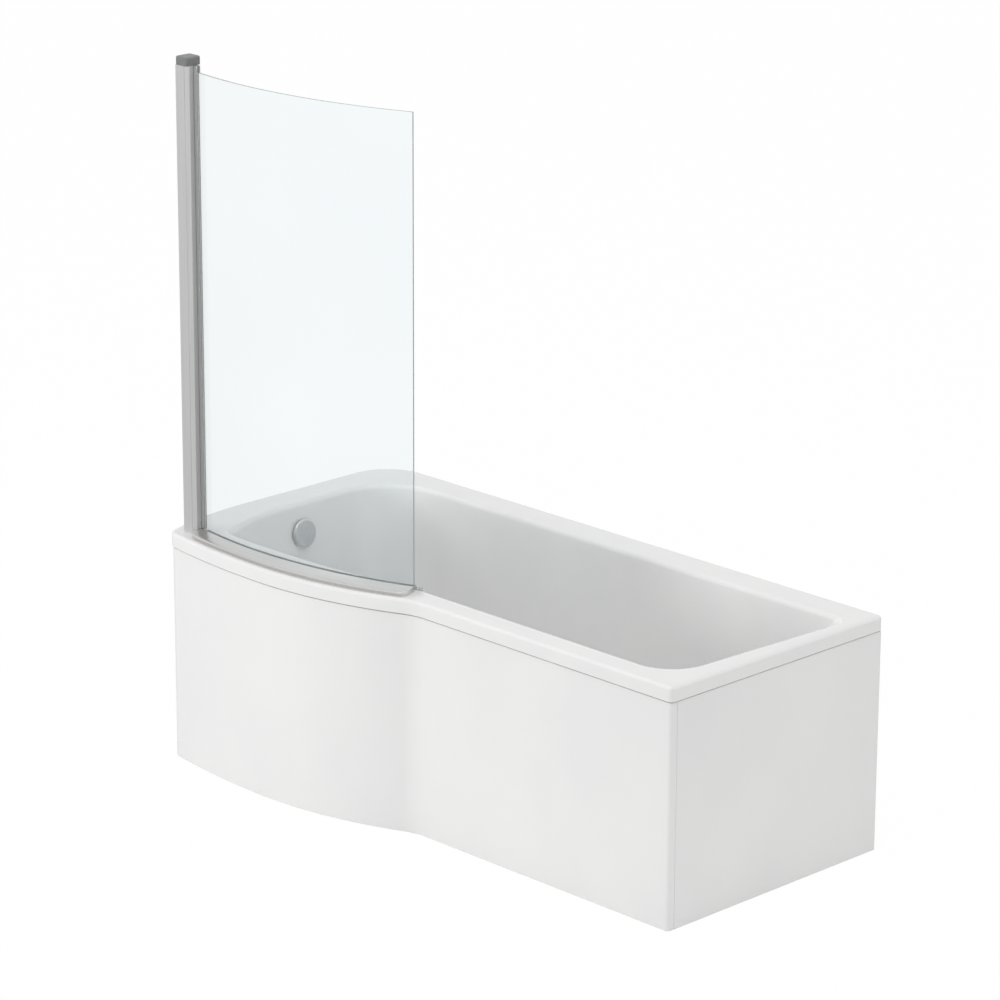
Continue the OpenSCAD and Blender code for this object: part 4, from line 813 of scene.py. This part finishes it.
CAP_CORNER = 6.0
CAP_EDGE = 4.5
CAP_WALL = 2.2
low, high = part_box("top_cap")
bm = bmesh.new()
size = high - low
block = Matrix.Translation((low + high) / 2) @ Matrix.Diagonal((*size, 1))
bmesh.ops.create_cube(bm, size=1.0, matrix=block)
upright_edges = [e for e in bm.edges if abs(e.verts[0].co.z - e.verts[1].co.z) > size.z / 2]
bmesh.ops.bevel(bm, geom=upright_edges, offset=CAP_CORNER * MM, offset_type="OFFSET", affect="EDGES",
                segments=8, profile=0.5, material=-1)
top_edges = [e for e in bm.edges if min(v.co.z for v in e.verts) > high.z - 1e-6]
bmesh.ops.bevel(bm, geom=top_edges, offset=CAP_EDGE * MM, offset_type="OFFSET", affect="EDGES",
                segments=6, profile=0.5, material=-1)
bmesh.ops.delete(bm, geom=[f for f in bm.faces if f.normal.z < -0.9], context="FACES_ONLY")
make_piece("moulded_top_cap", bm, [grey_plastic], "top_cap", wall_mm=CAP_WALL)


# ---- Screen: clamp, gasket, glass and seals ----
# The glass is 6 mm toughened sheet, bent in the furnace and polished on its edges. A drawn clamp
# grips it in grey vinyl; a grey seal runs along its foot, and a clear wiper ends it at the free edge.
# Extruded soft vinyl: light grey, with a low sheen and extrusion lines drawn 2 mm wide
grey_vinyl = make_finish("extruded_grey_vinyl", "grey_vinyl", "ShaderNodeTexNoise", (60, 60, 2), "9CA09F",
                         "ACB0AF", bump_mm=0.02, Roughness=0.45)
# Clear soft vinyl: milky, bends what is seen through it, with a haze in patches 5 mm across
clear_vinyl = make_finish("extruded_clear_vinyl", "clear_vinyl", "ShaderNodeTexNoise", (5, 5, 5), "D5D9DA",
                          "E4E7E8", Roughness=0.2, Transmission_Weight=0.7, IOR=1.53)
# Clear float glass: almost no colour through the sheet, which drifts over 500 mm
clear_glass = make_finish("clear_toughened_glass", "clear_glass", "ShaderNodeTexNoise", (500, 500, 500),
                          "F4F9FB", "F8FCFD", Roughness=0.0, IOR=1.5, Transmission_Weight=1.0)
# The ground and polished edge of the same glass: grey-green, with grinding marks 2 mm across
glass_edge = make_finish("ground_glass_edge", "clear_glass", "ShaderNodeTexNoise", (2, 2, 2), "A9B5B4",
                         "BCC6C5", Roughness=0.3, IOR=1.5, Transmission_Weight=0.4)

# The clamp's drawn aluminium: the post's finish painted a shade darker, as painted shade for the darker
# reflections its side faces take, with the same 2 mm lines
clamp_metal = make_finish("shaded_drawn_aluminium", "satin_aluminium", "ShaderNodeTexNoise", (2, 2, 300),
                          "C6C6C6", "D2D2D2", gloss=(0.3, 0.4), bump_mm=0.015, shape={"Detail": 4.0},
                          Metallic=1.0)

refined("drawn_glass_clamp", "glass_clamp", [clamp_metal], 0.5)
refined("vinyl_glass_gasket", "glass_gasket", [grey_vinyl], 0.4)
refined("vinyl_bottom_seal", "bottom_seal", [grey_vinyl], 0.3)
refined("clear_edge_seal", "edge_seal", [clear_vinyl], 0.3)

GLASS_ROWS, GLASS_STEPS = 12, 120
low, high = node_box_mm("glass_panel")
heights = [low[2] + (high[2] - low[2]) * i / GLASS_ROWS for i in range(GLASS_ROWS + 1)]
start = (GLASS_C[0] + GLASS_R * cos(GLASS_FROM), GLASS_C[1] + GLASS_R * sin(GLASS_FROM))
bm = bmesh.new()
start_loop(bm, [Vector((*start, z)) * MM for z in heights], closed=False)
bmesh.ops.spin(bm, geom=bm.verts[:] + bm.edges[:], cent=(GLASS_C[0] * MM, GLASS_C[1] * MM, 0),
               axis=(0, 0, 1), angle=GLASS_W / GLASS_R, steps=GLASS_STEPS)
bmesh.ops.recalc_face_normals(bm, faces=bm.faces)
if bm.faces[:][0].normal.y > 0:
    bmesh.ops.reverse_faces(bm, faces=bm.faces)
glass = make_piece("bent_glass_sheet", bm, [clear_glass, glass_edge], "glass_panel", smooth_to=40,
                   wall_mm=GLASS_T, edge_mm=0.5, segments=2)
glass.modifiers["wall"].material_offset_rim = 1
